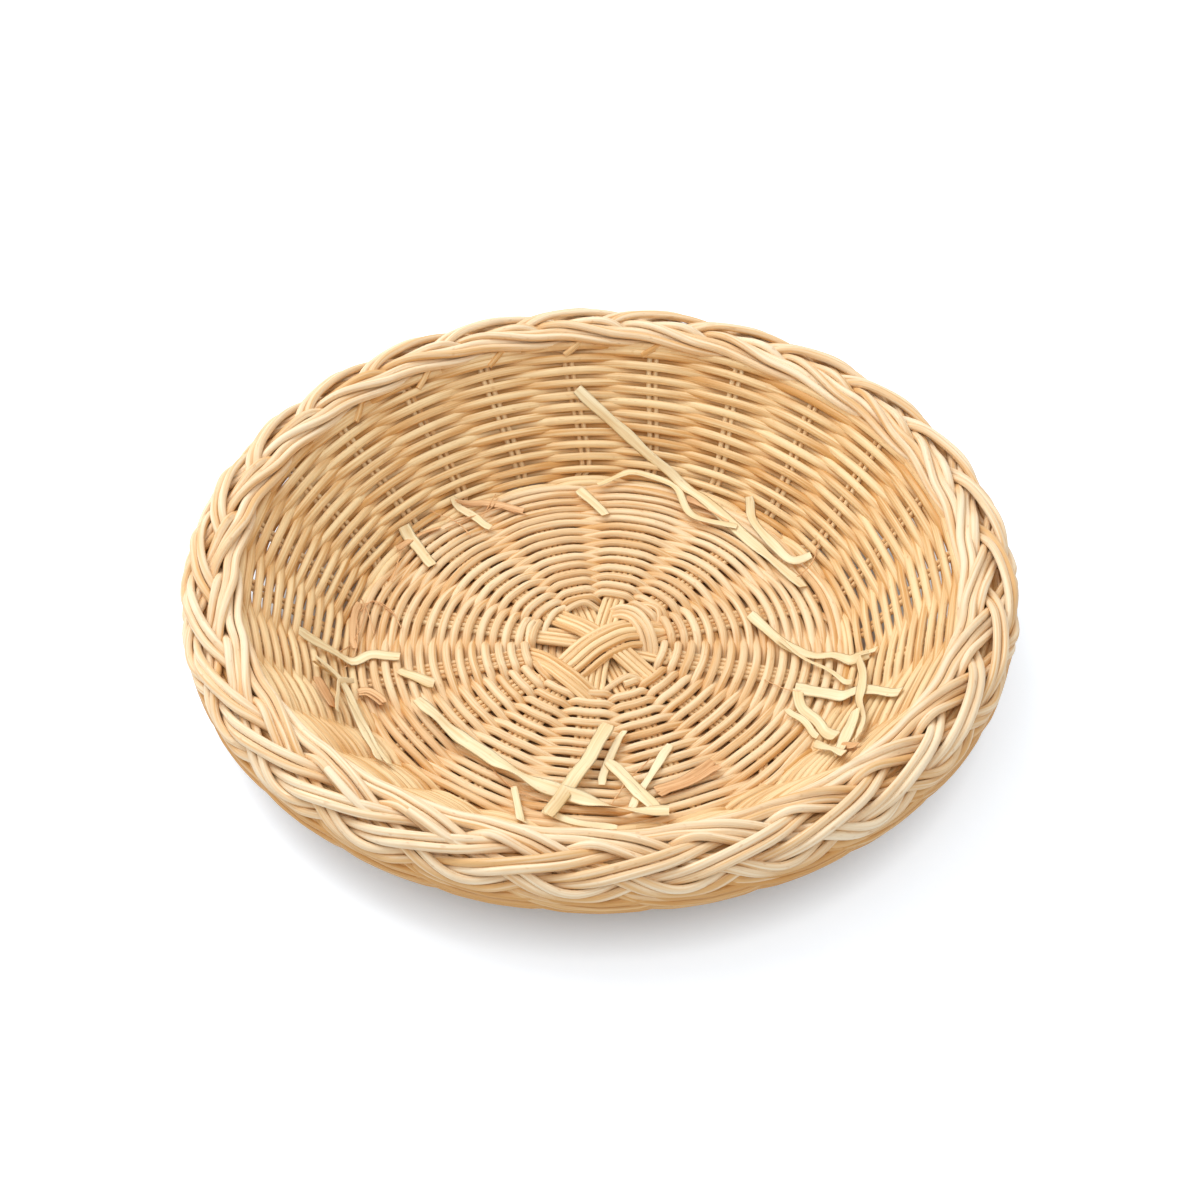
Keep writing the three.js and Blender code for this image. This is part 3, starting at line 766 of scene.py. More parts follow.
def curve_through(knots, count):
    """A smooth curve through the knots, at even distances."""
    knots = np.asarray(knots, float)
    ends = 2 * knots[[0, -1]] - knots[[1, -2]]
    k = np.concatenate([ends[:1], knots, ends[1:]])
    t = np.linspace(0, 1, 16, endpoint=False)[:, None]
    parts = []
    for i in range(len(knots) - 1):
        a, b, c, d = k[i:i + 4]
        parts.append(
            b + t * (c - a) / 2 + t ** 2 * (a - 2.5 * b + 2 * c - d / 2)
            + t ** 3 * (1.5 * b - 1.5 * c + (d - a) / 2)
        )
    fine = np.concatenate([*parts, k[-2:-1]])
    run = length_along(fine)
    even = np.linspace(0, run[-1], count)
    return np.stack([np.interp(even, run, fine[:, i]) for i in range(fine.shape[1])], -1)


def middle_line(first, last, saddle):
    """Where a bundle's centre runs between its two ribs, in plan."""
    start, end = (polar(RIBS[i], PILE_FROM, 0)[:2] for i in (first, last))
    if saddle:
        return curve_through([start, *SADDLE_KNOTS, end], 31)
    return bezier(start, start * (1 - RIB_PULL), end * (1 - RIB_PULL), end, 23)


print("the topmost bundle's curve goes through", len(SADDLE_KNOTS), "points between its ribs")

# %% [markdown]
# The bundles lie on each other where they cross, and each comes down to the floor's height on its way
# out. The canes could be left to fall into place by a simulation, but the pile is clear enough in the
# photograph to be laid one by one, with a level for each bundle. The topmost one is made of wider canes
# that lie spread out over the pile like a saddle.

# %% One stake's way over the pile
PILE_PITCH = 1.62
SADDLE_SPACING = 3.05
SADDLE_FROM = 16  # the saddle's canes spread inside this distance from the middle


def pile_lift(level, r):
    return (level + 1) * PILE_PITCH * (1 - smooth((r - PILE_TO) / (PILE_FROM - PILE_TO)))


def across_the_pile(first, last, level, sideways, saddle=False):
    """One stake's path between the two ribs, in the bundle's order from side to side."""
    line = middle_line(first, last, saddle)
    heading = np.gradient(line, axis=0)
    heading /= np.linalg.norm(heading, axis=1, keepdims=True)
    left = np.stack([-heading[:, 1], heading[:, 0]], -1)
    r = np.linalg.norm(line, axis=1)
    opened = np.zeros(len(r))
    if saddle:
        opened = 1 - smooth((r - SADDLE_FROM) / (PILE_FROM - SADDLE_FROM))
    wide = STAKE_SPACING + (SADDLE_SPACING - STAKE_SPACING) * opened
    step_aside = 0.5 * np.sign(sideways) * opened
    offset = sideways * wide + step_aside * wide
    plan = line + left * offset[:, None]
    crown = 0.05 * offset ** 2 * opened
    z = profile(r)[1] + pile_lift(level, r) - crown
    points = np.concatenate([plan, z[:, None]], 1)
    return points, np.broadcast_to((0.0, 0.0, 1.0), points.shape), opened


print("levels in the pile are", PILE_PITCH, "mm apart")

# %% [markdown]
# Now each stake is joined from its stretches and made. The stakes of one bundle are one piece, and
# each takes the place that it has in the frame. The half bundle starts where the pile begins.

# %% The bundles of stakes
SADDLE_CANE = SADDLE_SPACING - 0.1
ROUNDNESS = 0.92  # of a stake: its thickness by its width
BUNDLES = [  # the two ribs that each bundle joins, and its place in the pile
    ([3, 10], 2.5),
    ([1, 7], 1.5),
    ([12, 5], 0.5),
    ([2, 8], -0.5),
    ([0, 6], -1.5),
    ([11, 4], -2.5),
]
HALF_BUNDLE = 9


def whole_stake(first, last, level, slot_number, saddle=False):
    """A stake from the border, down the wall, across the pile and up the other side."""
    near, near_face = into_border(*rib_to_border(first, slot_number))
    far, far_face = into_border(*rib_to_border(last, 3 - slot_number))
    # Seen along the path from the first rib inward, a higher azimuth is on the right.
    sideways = slot_number - 1.5
    middle, middle_face, opened = across_the_pile(first, last, level, sideways, saddle)
    points = np.concatenate([near[::-1], middle[1:-1], far])
    face = np.concatenate([near_face[::-1], middle_face[1:-1], far_face])
    spread = np.concatenate([np.zeros(len(near)), opened[1:-1], np.zeros(len(far))])
    width = STAKE + (SADDLE_CANE - STAKE) * spread
    return cane(points, face, width, width * ROUNDNESS, tint=0.08 + chance.normal(0, 0.1))


def saddle_cane(first, last, level):
    """The short fifth cane in the middle of the topmost bundle, with its ends under the passes."""
    points, face, opened = across_the_pile(first, last, level, 0.0, saddle=True)
    points = points[opened > 0.05]
    face = face[opened > 0.05]
    points[[0, -1], 2] -= 1.5
    return cane(points, face, SADDLE_CANE, SADDLE_CANE * ROUNDNESS, tint=0.1)


for number, ((first, last), level) in enumerate(BUNDLES, 1):
    is_top = number == 1
    stakes = [whole_stake(first, last, level, i, saddle=is_top) for i in range(4)]
    if is_top:
        stakes.append(saddle_cane(first, last, level))
    make_piece(f"stakes_{number}", stakes, stake_finish, [f"base_stakes_{number}"])

half_stakes = []
for slot_number in range(4):
    points, face = into_border(*rib_to_border(HALF_BUNDLE, slot_number))
    half_stakes.append(cane(points, face, STAKE, STAKE * 0.95))
make_piece("stakes_half", half_stakes, stake_finish, ["base_stakes_half"])
print("stakes:", 4 * len(BUNDLES), "whole and", len(half_stakes), "half")

# %% [markdown]
# ## The passes that tie down the crossing
#
# The basket maker lays the half bundle's own ends over one end of the topmost bundle, and a few turns
# of the first weaver over the other, to hold the pile together. Both are flat groups of canes that
# rise over the bundle and dive beside it. One wide ribbon would not show the single canes, so each is
# a cane of its own, and all of a group lie beside one smooth curve through a few points.

# %% Two passes over the crossing
PASS_STEP = 1.2


def side_by_side(knots, count, spacing, width, thickness, lean=0.0, tint=0.2):
    """A flat group of canes along one curve; `lean` turns it over towards its left, in degrees."""
    straight = length_along(np.array(knots, float))[-1]
    middle = curve_through(knots, max(int(straight / PASS_STEP), 12))
    heading = np.gradient(middle, axis=0)
    heading /= np.linalg.norm(heading, axis=1, keepdims=True)
    left = np.cross((0, 0, 1.0), heading)
    left /= np.linalg.norm(left, axis=1, keepdims=True)
    up = np.cross(heading, left)
    c, s = math.cos(math.radians(lean)), math.sin(math.radians(lean))
    side, face = left * c - up * s, up * c + left * s
    run = length_along(middle)
    canes = []
    for i in range(count):
        offset = (i - (count - 1) / 2) * spacing + drift(run, 12, 0.1)
        points = middle + side * offset[:, None] + face * drift(run, 9, 0.12)[:, None]
        canes.append(cane(points, face, width, thickness, tint=tint + chance.normal(0, 0.08)))
    return canes


HALF_PASS = [
    (-27.2, -4.1, 3.6),
    (-24.3, -6.4, 5.0),
    (-21.5, -9.2, 6.4),
    (-17.1, -14.2, 8.2),
    (-12.8, -19.2, 8.9),
    (-8.6, -23.2, 8.2),
    (-5.0, -26.0, 6.4),
    (-2.2, -27.9, 4.4),
    (-0.4, -29.2, 2.6),
]
WEAVER_PASS = [
    (3.4, 16.8, 4.2),
    (5.6, 15.4, 6.6),
    (8.7, 14.2, 8.4),
    (12.7, 10.6, 9.9),
    (15.5, 6.0, 10.2),
    (17.3, 1.7, 9.2),
    (18.4, -2.3, 6.8),
    (18.8, -5.4, 4.0),
]
half_pass = side_by_side(HALF_PASS, 4, spacing=1.75, width=1.95, thickness=1.8, lean=-16)
weaver_pass = side_by_side(WEAVER_PASS, 3, spacing=2.05, width=2.25, thickness=2.0, lean=-18)
make_piece("pass_of_half_bundle", half_pass, stake_finish, ["centre_binding_1"])
make_piece("pass_of_weaver", weaver_pass, floor_finish, ["centre_binding_2"])
print("passes:", len(half_pass), "and", len(weaver_pass), "canes")

# %% [markdown]
# Single round loops hold down some of the lower bundles. Under the pile the first weaver goes on
# inward as a spiral, which is seen between the bundles and closes the holes there. Its colour is
# painted darker: painted shade under the pile.

# %% The weaver's start and the loops
TURNS_BELOW = 6.6
PITCH_BELOW = 2.6
WAVES_PER_TURN = 6.5


def spiral_below():
    """The first weaver's start, flat under the pile, with a slight wave."""
    turns = np.arange(0, TURNS_BELOW, 1 / 60)
    z = 1.5 + 0.4 * np.sin(np.radians(360 * WAVES_PER_TURN * turns))
    points = polar(360 * turns, 8 + PITCH_BELOW * turns, z)
    # tint -0.25: painted shade, darker because it lies under the pile.
    return cane(points, (0, 0, 1), width=2.7, thickness=1.9, tint=-0.25)


make_piece("weaver_below", [spiral_below()], floor_finish)

LOOPS = [
    [(-13.8, 17.4, 3.6), (-12.5, 18.1, 5.6), (-8.8, 19.8, 7.0), (-5.0, 20.5, 7.2), (-0.3, 19.1, 4.2)],
    [(-26.9, -1.7, 3.6), (-26.7, 2.8, 5.2), (-26.1, 7.2, 6.6), (-24.3, 10.3, 6.8), (-22.3, 8.9, 4.0)],
    [(-21.2, 6.7, 4.0), (-19.6, 10.9, 6.0), (-16.9, 15.5, 6.8), (-13.2, 19.4, 5.6)],
    [(1.2, -23.0, 3.4), (3.7, -22.0, 5.2), (6.7, -20.0, 6.2), (11.0, -17.7, 6.4), (17.1, -17.8, 3.4)],
    [(15.0, 22.0, 4.6), (19.0, 19.6, 6.4), (21.8, 17.2, 6.6), (22.4, 14.0, 5.6), (21.8, 10.6, 3.8)],
]
loops = [side_by_side(knots, 1, spacing=0, width=2.5, thickness=2.2)[0] for knots in LOOPS]
make_piece("crossing_loops", loops, floor_finish)
print("loops:", len(loops))

# %% [markdown]
# ## The plaited border
#
# The border looks like a plait of three groups of rods, but it is one path repeated. Each stake's end
# comes up out of the roll, joins a group at the inner edge, and then goes round with it: over the
# inner edge, down under two groups, out at the front, round the foot of the roll, up over two groups
# and back to the inner edge. That takes six units of the border's twenty-six. A rod makes about two
# and a half such rounds, so a group holds three rods where it goes over the inner edge and two where
# it comes up at the outside. Then the oldest is left behind, with its end tucked in under the others.
# So all twenty-six rods are copies of one path, each turned on by one unit, and at any place the rods
# of different age lie side by side.
#
# The path is written as keys: how far round the roll the group is and how far from its centre, and
# for the one rod, how far beside the group's middle it lies and how much it is lifted or lowered
# where it changes places with its neighbours. Each key starts with a place along the rod, in units.

# %% Keys of the plait
UNITS = 26
UNIT = 360 / UNITS
FIRST_KINK = -0.6  # azimuth of the first unit's kink, where a group bends over the inner edge
KINK_AT = 0.45  # the same place, in units along a rod
ROD = 3.05
STEPS_PER_UNIT = 16
ROUND_KEYS = [
    (0.05, 125), (0.25, 122), (0.45, 117), (0.6, 114), (0.8, 109), (0.96, 100), (1.1, 85), (1.25, 66),
    (1.45, 43), (1.71, 17), (1.9, 2), (2.1, -11), (2.35, -17), (2.6, -11), (3.0, 9), (3.3, 27),
    (3.5, 38), (3.77, 50), (4.0, 59), (4.19, 68), (4.3, 77), (4.42, 92), (4.6, 112), (4.8, 130),
    (5.0, 140), (5.2, 142), (5.5, 138), (5.8, 131),
]
REACH_KEYS = [
    (0, 11.6), (0.45, 11.4), (0.6, 10.6), (0.8, 8.9), (0.96, 7.3), (1.15, 6.4), (1.48, 6.4),
    (1.7, 8.0), (1.88, 9.6), (2.35, 9.9), (2.62, 8.8), (2.88, 6.9), (3.16, 8.3), (3.48, 10.2),
    (4.0, 10.3), (4.19, 9.5), (4.31, 8.2), (4.45, 7.0), (4.7, 7.2), (4.9, 8.6), (5.15, 10.4),
    (5.45, 11.4), (5.8, 11.6),
]
BESIDE_KEYS = [
    (0.72, -2.5), (1.2, -2.9), (2.35, -2.9), (2.9, -1.55), (5.8, -1.55), (6.4, 0), (8.35, 0),
    (8.9, 1.55), (11.8, 1.55), (12.3, 2.1), (12.8, 1.7), (13.1, 2.1), (13.5, 2.9), (14.4, 2.9),
    (15.1, 0),
]
LIFT_KEYS = [
    (0.72, -1.6), (0.9, -1.4), (1.2, -0.3), (1.5, 0), (4.8, 0), (5.1, -1.5), (5.4, -2.4),
    (6.45, -2.4), (6.8, -0.6), (7.0, 0), (12.3, 0), (12.6, 0.6), (12.8, 1.5), (12.96, 2.2),
    (13.1, 1.7), (13.3, 0.6), (13.5, 0), (14.4, 0), (14.8, -2.5), (15.2, -3.0),
]
START_KEYS = [
    (-0.02, 130, 3.6), (0.08, 122, 5.2), (0.2, 115, 7.2), (0.31, 111, 9.2), (0.38, 109, 10.1),
    (0.45, 107, 10.4), (0.57, 103, 9.6),
]
LEFT_BEHIND = 15.1
ROUND_TRIP = 6
print("keys:", len(ROUND_KEYS), "round the roll and", len(REACH_KEYS), "for the distance from it")

# %% [markdown]
# The group's keys repeat after each round trip, so a smooth curve that closes on itself goes through
# them. The one rod's own keys are joined by straight lines, whose corners are rubbed off later. It
# could all be one curve drawn by hand in space, but the plait would then be far harder to adjust.

# %% One rod's path through the plait
JOINS_FROM, JOINED = 0.4, 0.72


def at_keys(keys, u, column=1):
    """Straight lines between keys; `column` says which of a key's values is wanted."""
    keys = np.array(keys, float)
    return np.interp(u, keys[:, 0], keys[:, column])


def through_keys(keys, u):
    """A smooth curve through keys that repeat after every round trip."""
    at, value = np.array(keys, float).T
    n = len(keys)
    u = np.mod(u, ROUND_TRIP)
    i = np.searchsorted(at, u, side="right") - 1
    x = [at[(i + d) % n] + ROUND_TRIP * ((i + d) // n) for d in (-1, 0, 1, 2)]
    y = [value[(i + d) % n] for d in (-1, 0, 1, 2)]
    gap = x[2] - x[1]
    t = (u - x[1]) / gap
    leave = (y[2] - y[0]) / (x[2] - x[0]) * gap
    arrive = (y[3] - y[1]) / (x[3] - x[1]) * gap
    return (
        (2 * t ** 3 - 3 * t ** 2 + 1) * y[1] + (t ** 3 - 2 * t ** 2 + t) * leave
        + (3 * t ** 2 - 2 * t ** 3) * y[2] + (t ** 3 - t ** 2) * arrive
    )


def on_roll(azimuth, around, reach):
    """A point of the border: degrees round the roll (0 outward, 90 up) and distance from its middle."""
    around = np.radians(around)
    return polar(azimuth, ROLL[0] + reach * np.cos(around), ROLL[1] + reach * np.sin(around))


def unit_azimuth(u):
    return FIRST_KINK + (u - KINK_AT) * UNIT


def planned_rod():
    """The path before the rods have pushed each other aside."""
    u = np.arange(START_KEYS[0][0], LEFT_BEHIND, 1 / STEPS_PER_UNIT)
    around = through_keys(ROUND_KEYS, u)
    reach = through_keys(REACH_KEYS, u) + at_keys(LIFT_KEYS, u)
    radius = ROLL[0] + reach * np.cos(np.radians(around))
    ahead = math.radians(UNIT) * radius
    climb = np.radians(np.gradient(around, u)) * reach
    beside = at_keys(BESIDE_KEYS, u) / np.hypot(ahead, climb)
    azimuth = unit_azimuth(u) - np.degrees(beside * climb / radius)
    around = around + np.degrees(beside * ahead / reach)

    # Up to where it joins the group, the rod follows keys of its own.
    first = np.argmax(u >= JOINED)
    start = START_KEYS + [(u[first], around[first], reach[first])]
    shift = azimuth[first] - unit_azimuth(u[first])
    head = u < JOINED
    around[head] = at_keys(start, u[head])
    reach[head] = at_keys(start, u[head], 2)
    joining = np.clip((u[head] - JOINS_FROM) / (JOINED - JOINS_FROM), 0, 1)
    azimuth[head] = unit_azimuth(u[head]) + shift * joining
    return on_roll(azimuth, around, reach)


rod_plan = planned_rod()
print("a rod is", round(length_along(rod_plan)[-1]), "mm long, with", len(rod_plan), "points")

# %% [markdown]
# A plan drawn from keys still lets the rods run into each other by a millimetre here and there. Real
# rods push each other aside. A short relaxation does the same: since all rods are copies of one path,
# it is enough to compare that path with its own turned copies, push each point away from what is
# nearer than one rod's thickness, smooth the path a little, and do that again some dozens of times.
# The last few times only smooth it, so that no small kinks are left.

# %% Let the rods push each other aside
def pushed_apart(points, thickness, reach=7):
    """How far each point has to move, and the smallest distance found."""
    push = np.zeros_like(points)
    hits = np.zeros(len(points))
    closest = thickness
    here = np.arange(len(points))
    units = math.ceil(LEFT_BEHIND)
    for copy in range(-units, units + 1):
        if copy == 0:
            continue
        other = turned(points, UNIT * copy)
        for step in range(-reach, reach + 1):
            there = here - copy * STEPS_PER_UNIT + step
            near = (there >= 0) & (there < len(points) - 1)
            if not near.any():
                continue
            i, j = here[near], there[near]
            along = other[j + 1] - other[j]
            t = ((points[i] - other[j]) * along).sum(-1) / (along * along).sum(-1)
            away = points[i] - other[j] - np.clip(t, 0, 1)[:, None] * along
            distance = np.linalg.norm(away, axis=1)
            closest = min(closest, distance.min())
            hit = distance < thickness
            short = (thickness - distance[hit]) / np.maximum(distance[hit], 1e-6)
            push[i[hit]] += away[hit] * short[:, None] / 2
            hits[i[hit]] += 1
    return push / np.maximum(hits, 1)[:, None], closest


SMOOTH_ONLY = 8


def relaxed(points, thickness, rounds=110):
    plan = points.copy()
    for done in range(rounds):
        push, closest = pushed_apart(points, thickness)
        if done < rounds - SMOOTH_ONLY:
            points = points + 1.2 * push
        bend = np.zeros_like(points)
        bend[1:-1] = (points[2:] + points[:-2]) / 2 - points[1:-1]
        stiff = np.zeros_like(points)
        stiff[1:-1] = (bend[2:] + bend[:-2]) / 2 - bend[1:-1]
        points = points - 0.5 * stiff + 0.03 * (1 - done / rounds) * (plan - points)
    return points, closest


rod_path, closest = relaxed(rod_plan, ROD)
print("nearest rods are", round(float(closest), 2), "mm apart, centre to centre")

# %% [markdown]
# Now the path is copied: one rod for each unit. An array of equal rods would look like plastic, so
# each has its own slight waves, thickness and tint. Where a rod lies deep in the plait or low under
# the roll, its colour is painted a little darker: painted shade.

# %% Twenty-six rods
def away_from_roll(points):
    """Which way is out of the roll at each point."""
    azimuth = np.degrees(np.arctan2(points[:, 0], -points[:, 1]))
    return points - polar(azimuth, *ROLL)


# Painted shade: nearer the roll's middle than this, a rod's colour is made darker.
SHADE_REACH = 9.5  # a rod nearer to the roll's middle than this is a little darker

for unit in range(UNITS):
    points = turned(rod_path, UNIT * unit)
    run = length_along(points)
    wobble = np.stack([drift(run, 35, 0.13) for _ in range(3)], -1)
    width = ROD * (1 + drift(run, 60, 0.02)) * (1 + chance.normal(0, 0.02))
    # Painted shade: the tint is lowered deep in the plait and where the rod runs low under the roll.
    depth = np.linalg.norm(away_from_roll(points), axis=1) - SHADE_REACH
    under = smooth((ROLL[1] + 1 - points[:, 2]) / 4.5)
    tint = 0.05 + chance.normal(0, 0.08) + drift(run, 70, 0.14) + 0.06 * np.clip(depth, -4, 3)
    tint = tint - 0.5 * under
    rod = cane(points + wobble, away_from_roll(points), width, width * 0.96, tint=tint)
    name = f"{unit + 1:02d}"
    make_piece(f"border_rod_{name}", [rod], border_finish, [f"border_strand_{name}"], sides=12)
print("border rods:", UNITS)

# %% [markdown]
# Rods that are finished are cut off. Low on the outside, the short tails of each unit bend out under
# the roll and give it a scalloped edge. At the back a few ends stick up over the inner edge as tufts,
# and two stubs lie on top at the front left. They are modelled as canes of their own, because a rod
# that simply stopped there would leave a hole in the pattern.

# %% Cut tails, tufts and stubs
TAIL_KEYS = [
    (1.35, -12, 6.0), (1.6, -26, 8.8), (1.85, -40, 11.2), (2.15, -50, 12.7), (2.5, -56, 13.2),
    (2.85, -53, 12.7), (3.1, -46, 11.2), (3.35, -34, 8.6), (3.6, -20, 6.0),
]
TAILS_OF_UNIT = [(0, 0), (-14, 0.3), (13, 0.9), (26, 2.4)]  # degrees beside the keys, and deeper
TUFT_UNITS = [12, 13, 14, 15, 16]
TUFT_KEYS = [(0.62, 136, 8.4), (0.74, 149, 10.6), (0.84, 160, 12.0), (0.95, 170, 12.9)]
STUB_UNITS = [-3, -2]
STUB_KEYS = [(0.58, 90, 12.7), (0.8, 81, 12.5), (1.05, 70, 10.8), (1.25, 63, 8.0)]


def cut_tail(unit, beside, deeper):
    """One of the short ends under the roll, from where it leaves the plait to where it goes back in."""
    u = np.arange(TAIL_KEYS[0][0], TAIL_KEYS[-1][0], 1 / STEPS_PER_UNIT)
    around = at_keys(TAIL_KEYS, u) + beside
    reach = at_keys(TAIL_KEYS, u, 2) - deeper
    points = on_roll(unit_azimuth(u + unit), around, reach)
    # tint -0.6, with the darker wall finish: the tails are painted dark as painted shade under the
    # roll.
    return cane(points, away_from_roll(points), ROD * 0.97, ROD * 0.93, tint=-0.6)


def cut_end(keys, unit, width, tint):
    """A short end of a rod, from its cut face into the plait."""
    u, around, reach = curve_through(keys, 9).T
    points = on_roll(unit_azimuth(u + unit), around, reach)
    return cane(points, away_from_roll(points), width, width * 0.9, tint=tint)


tails = [cut_tail(unit, *place) for unit in range(UNITS) for place in TAILS_OF_UNIT]
make_piece("border_cut_tails", tails, wall_finish, ["border_tails"], sides=12)
tufts = [cut_end(TUFT_KEYS, unit, width=2.5, tint=-0.3) for unit in TUFT_UNITS]
stubs = [cut_end(STUB_KEYS, unit, width=3.0, tint=0.3) for unit in STUB_UNITS]
make_piece("border_tufts", tufts, wall_finish)
make_piece("border_stubs", stubs, border_finish)
print("cut ends:", len(tails), "tails,", len(tufts), "tufts and", len(stubs), "stubs")

# %% [markdown]
# The roll would be hollow if it held the plait alone. On the real basket the stakes' tails run round
# inside it. Only slivers of them show between the groups, so plain rings of cane do.

# %% Rods inside the roll
CORE_RODS = 7
CORE_REACH = 3.3
INNER_RODS = [(132.6, 41.2), (134.2, 43.6), (133.2, 38.6)]  # under the inner edge
core = []
azimuth = np.arange(0, 360, 2.0)
for rod_number in range(CORE_RODS):
    points = on_roll(azimuth, 360 / CORE_RODS * rod_number + azimuth, CORE_REACH)
    core.append(cane(points, away_from_roll(points), width=3.2, thickness=3.1, tint=-0.2))
for r, z in INNER_RODS:
    points = polar(azimuth, r, z + 0.3 * np.sin(np.radians(UNITS / 2 * azimuth)))
    core.append(cane(points, away_from_roll(points), width=2.6, thickness=2.5, tint=-0.1))
make_piece("border_core_rods", core, wall_finish, ["border_core"], sides=8)
print("rods inside the roll:", len(core))

# %% [markdown]
# ## Wood wool left in the basket
#
# Wood wool is shaved off a log in thin strips, which curl and split along the grain. Twenty strips
# are wide enough to count as pieces. A sheet with a Solidify modifier would be too even, so each strip
# is a thin flat ribbon that turns a little about its own length, and the widest are two that overlap,
# as where a strip has split. Scraps and hairs that are too small to be pieces lie between them. The
# strips lie where the frame has its own: on the weave, one over the other.

# %% Where the strips lie: width, how high in the heap, and the route
STRIPS = [
    (3.8, 0, [(-9, 116), (16, 100), (39, 81), (58, 55), (77, 29)]),
    (2.4, 1, [(-1, 87), (10, 92), (21, 90), (30, 84), (36, 69), (53, 62)]),
    (3.2, 0, [(-8, 85), (2, 70)]),
    (3.0, 0, [(57, 76), (62, 62), (72, 45), (81, 45)]),
    (3.4, 0, [(56, 14), (66, 1), (73, -5), (80, -8), (87, -8), (98, -15)]),
    (1.8, 1, [(66, 0), (75, -10), (84, -17), (91, -26)]),
    (4.0, 0, [(71, -25), (91, -30), (99, -42), (105, -53)]),
    (3.6, 1, [(95, -14), (95, -26), (93, -41), (92, -56), (89, -74)]),
    (3.2, 0, [(71, -25), (73, -35), (79, -43), (83, -58)]),
    (4.2, 2, [(-66, -32), (-48, -53), (-21, -74), (7, -85), (24, -86)]),
    (2.2, 0, [(-30, -73), (-29, -80), (-26, -100)]),
    (4.2, 3, [(3, -46), (-3, -60), (-11, -76), (-18, -89)]),
    (2.4, 0, [(8, -46), (4, -58), (0, -72)]),
    (4.6, 1, [(3, -62), (12, -75), (21, -86)]),
    (2.6, 0, [(25, -53), (19, -65), (14, -76), (11, -83)]),
    (6.0, 0, [(41, -62), (32, -70), (20, -76)]),
    (3.6, 0, [(-109, -14), (-97, -12), (-90, -11), (-84, -7), (-74, -9)]),
    (4.6, 0, [(-103, -24), (-95, -26), (-89, -37), (-83, -52), (-75, -75)]),
    (3.0, 0, [(-74, -16), (-67, -19), (-61, -23)]),
    (4.0, 0, [(-76, 59), (-71, 53), (-64, 41)]),
]
SCRAPS_PALE = [
    (1.7, 1, [(-90, -22), (-94, -28), (-94, -36), (-93, -52)]),
    (2.0, 0, [(67, -36), (73, -41), (77, -50)]),
    (4.2, 0, [(91, -46), (87, -60), (82, -80)]),
    (2.6, 1, [(76, -56), (80, -70), (83, -86)]),
    (2.8, 0, [(96, -11), (101, -14)]),
    (2.0, 0, [(-20, -84), (-8, -90), (6, -93)]),
    (2.4, 0, [(-58, 76), (-50, 70), (-43, 62)]),
]
SCRAPS_TAN = [
    (2.2, 0, [(-91, 20), (-92, 12), (-92, 4), (-91, -4)]),
    (4.6, 0, [(-88, -27), (-84, -27), (-78, -32)]),
    (4.4, 0, [(-101, -34), (-98, -40), (-94, -48)]),
    (2.4, 0, [(84, -70), (88, -80)]),
    (2.2, 0, [(-78, 50), (-70, 58), (-62, 63)]),
    (2.6, 0, [(-57, 75), (-43, 77), (-30, 72)]),
    (2.0, 0, [(34, 80), (42, 74), (50, 66)]),
]
print("routes:", len(STRIPS), "of strips and", len(SCRAPS_PALE) + len(SCRAPS_TAN), "of scraps")

# %% [markdown]
# A strip is made by the same tree as the canes, as a very flat one. The route is a plan; the helper
# lays it on the weave's upper face, wherever that is, and then the ribbon is turned a little to and
# fro about its own length, so that it catches the light in some places and shows its edge in others.

# %% One strip of wood wool
STRIP_THICKNESS = 0.24
SPLIT_WIDTH = 4.4  # wider strips are two ribbons
TAN_WIDTH = 5  # wider strips are tan
RIBBON_LIFT = 0.75  # above the weave's upper face
LAYER = 1.0  # from one layer of the heap to the next
SECOND_RIBBON = 0.22  # how far a strip's second ribbon lies over its first
wool_pale = rattan("wood_wool_pale", pale=(0.93, 0.80, 0.53), tan=(0.80, 0.60, 0.31), warm=0.15)
wool_tan = rattan("wood_wool_tan", pale=(0.84, 0.53, 0.27), tan=(0.60, 0.30, 0.12), warm=0.3)


def over_the_weave(x, y, lift):
    """Points a little above the weave's upper face, and the way up from it."""
    r = np.hypot(x, y)
    azimuth = np.degrees(np.arctan2(x, -y))
    s = r.copy()
    for _ in range(12):
        found = profile(s)
        s = s + (r - found[0] - (FLOOR_MIDDLE + lift) * found[2])
    return on_weave(azimuth, s, FLOOR_MIDDLE + lift)


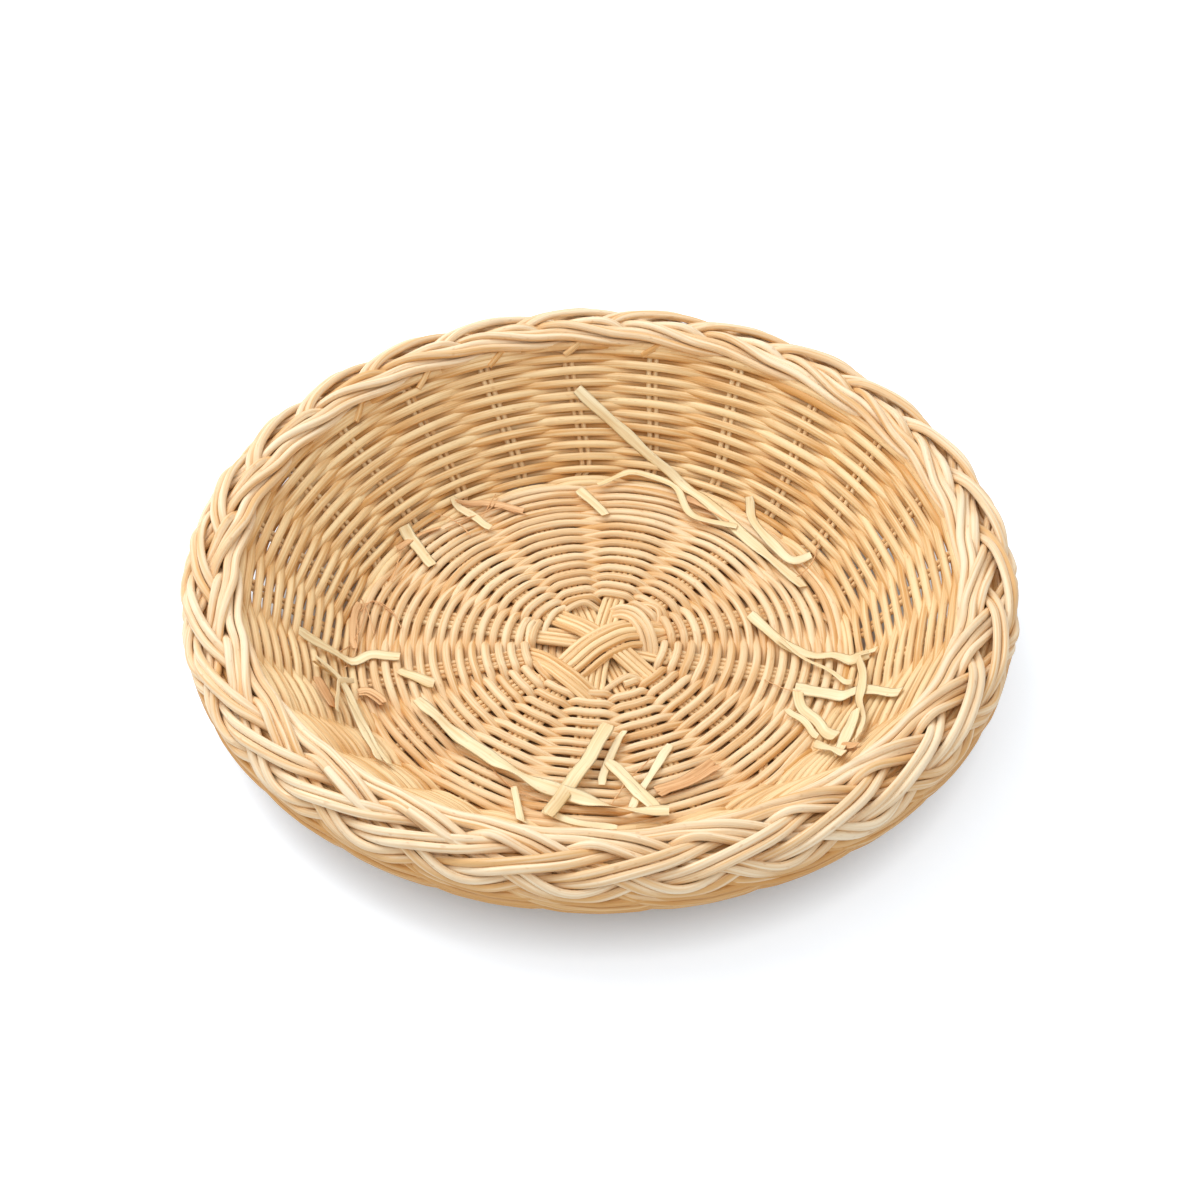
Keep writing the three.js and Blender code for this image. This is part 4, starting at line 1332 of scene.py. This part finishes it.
def strip(width, layer, route):
    """One ribbon along a route, or two that overlap where the strip is wide."""
    route = np.array([(x, y, 0) for x, y in route], float)
    flat = curve_through(route, max(int(length_along(route)[-1] / 1.6), 10))
    run = length_along(flat)
    heading = np.gradient(flat, axis=0)
    heading /= np.linalg.norm(heading, axis=1, keepdims=True)
    side = np.stack([-heading[:, 1], heading[:, 0]], -1)
    end = np.minimum(run, run[-1] - run) / run[-1]
    taper = 0.85 + 0.15 * smooth(end / 0.04)
    ribbons = 2 if width > SPLIT_WIDTH else 1
    wander = drift(run, 14, 0.2)
    folds = drift(run, 18, 14.0)
    canes = []
    for i in range(ribbons):
        share = (i - (ribbons - 1) / 2) * width * 0.8 / ribbons
        fray = chance.normal(0, 0.5) * (1 - smooth(end / 0.16))
        offset = share * (0.75 + 0.25 * taper) + wander + fray + drift(run, 9, 0.08)
        x = flat[:, 0] + side[:, 0] * offset
        y = flat[:, 1] + side[:, 1] * offset
        lift = RIBBON_LIFT + LAYER * layer + SECOND_RIBBON * i + np.abs(drift(run, 12, 0.25))
        points, face = over_the_weave(x, y, lift)
        tilt = np.radians(folds + drift(run, 13, 12.0) + 14 * (i - (ribbons - 1) / 2))
        along = np.gradient(points, axis=0)
        along /= np.linalg.norm(along, axis=1, keepdims=True)
        across = np.cross(along, face)
        face = face * np.cos(tilt)[:, None] + across * np.sin(tilt)[:, None]
        wide = width / ribbons * 1.3 * taper * (1 + drift(run, 8, 0.08))
        canes.append(cane(points, face, wide, STRIP_THICKNESS, tint=drift(run, 20, 0.12)))
    return canes


for number, (width, layer, route) in enumerate(STRIPS, 1):
    finish = wool_tan if width > TAN_WIDTH else wool_pale
    name = f"{number:02d}"
    make_piece(f"wool_strip_{name}", strip(width, layer, route), finish, [f"wood_wool_{name}"], sides=8)
print("strips:", len(STRIPS), "of which tan:", sum(width > TAN_WIDTH for width, _, _ in STRIPS))

# %% [markdown]
# What is too small to be a piece of its own still shows in the photograph: scraps of strips, and hairs
# of half a millimetre. Each kind is joined into one piece.

# %% Scraps and hairs
scraps_pale = [ribbon for scrap in SCRAPS_PALE for ribbon in strip(*scrap)]
scraps_tan = [ribbon for scrap in SCRAPS_TAN for ribbon in strip(*scrap)]
make_piece("wool_scraps_pale", scraps_pale, wool_pale, sides=8)
make_piece("wool_scraps_tan", scraps_tan, wool_tan, sides=8)

HAIRS = [
    [(-89, 20), (-84, 21), (-79, 17), (-74, 7)],
    [(-90, 16), (-86, 21), (-82, 19), (-77, 14)],
    [(-90, 22), (-87, 15), (-84, 3)],
    [(-76, 51), (-79, 32)],
    [(-41, 82), (-46, 68)],
    [(-66, 69), (-58, 68), (-50, 58)],
    [(-56, 75), (-43, 76), (-28, 70)],
    [(-96, -10), (-90, 4), (-88, 20)],
    [(-94, -18), (-90, -4), (-91, 12)],
    [(-60, 62), (-48, 70), (-34, 76)],
    [(-56, 66), (-44, 72), (-40, 80)],
    [(18, -60), (10, -70), (4, -82)],
    [(60, -20), (70, -26), (84, -25)],
    [(-40, -62), (-30, -74), (-14, -82)],
    [(74, 34), (80, 40), (84, 50)],
]
hairs = []
for route in HAIRS:
    flat = curve_through([(x, y, 0) for x, y in route], 30)
    lift = 0.5 + np.abs(drift(length_along(flat), 8, 0.5))
    points, face = over_the_weave(flat[:, 0], flat[:, 1], lift)
    hairs.append(cane(points, face, width=0.5, thickness=0.3, tint=-0.1))
make_piece("wool_hairs", hairs, wool_tan, sides=6)
print("wood wool:", len(scraps_pale) + len(scraps_tan), "ribbons of scraps and", len(hairs), "hairs")
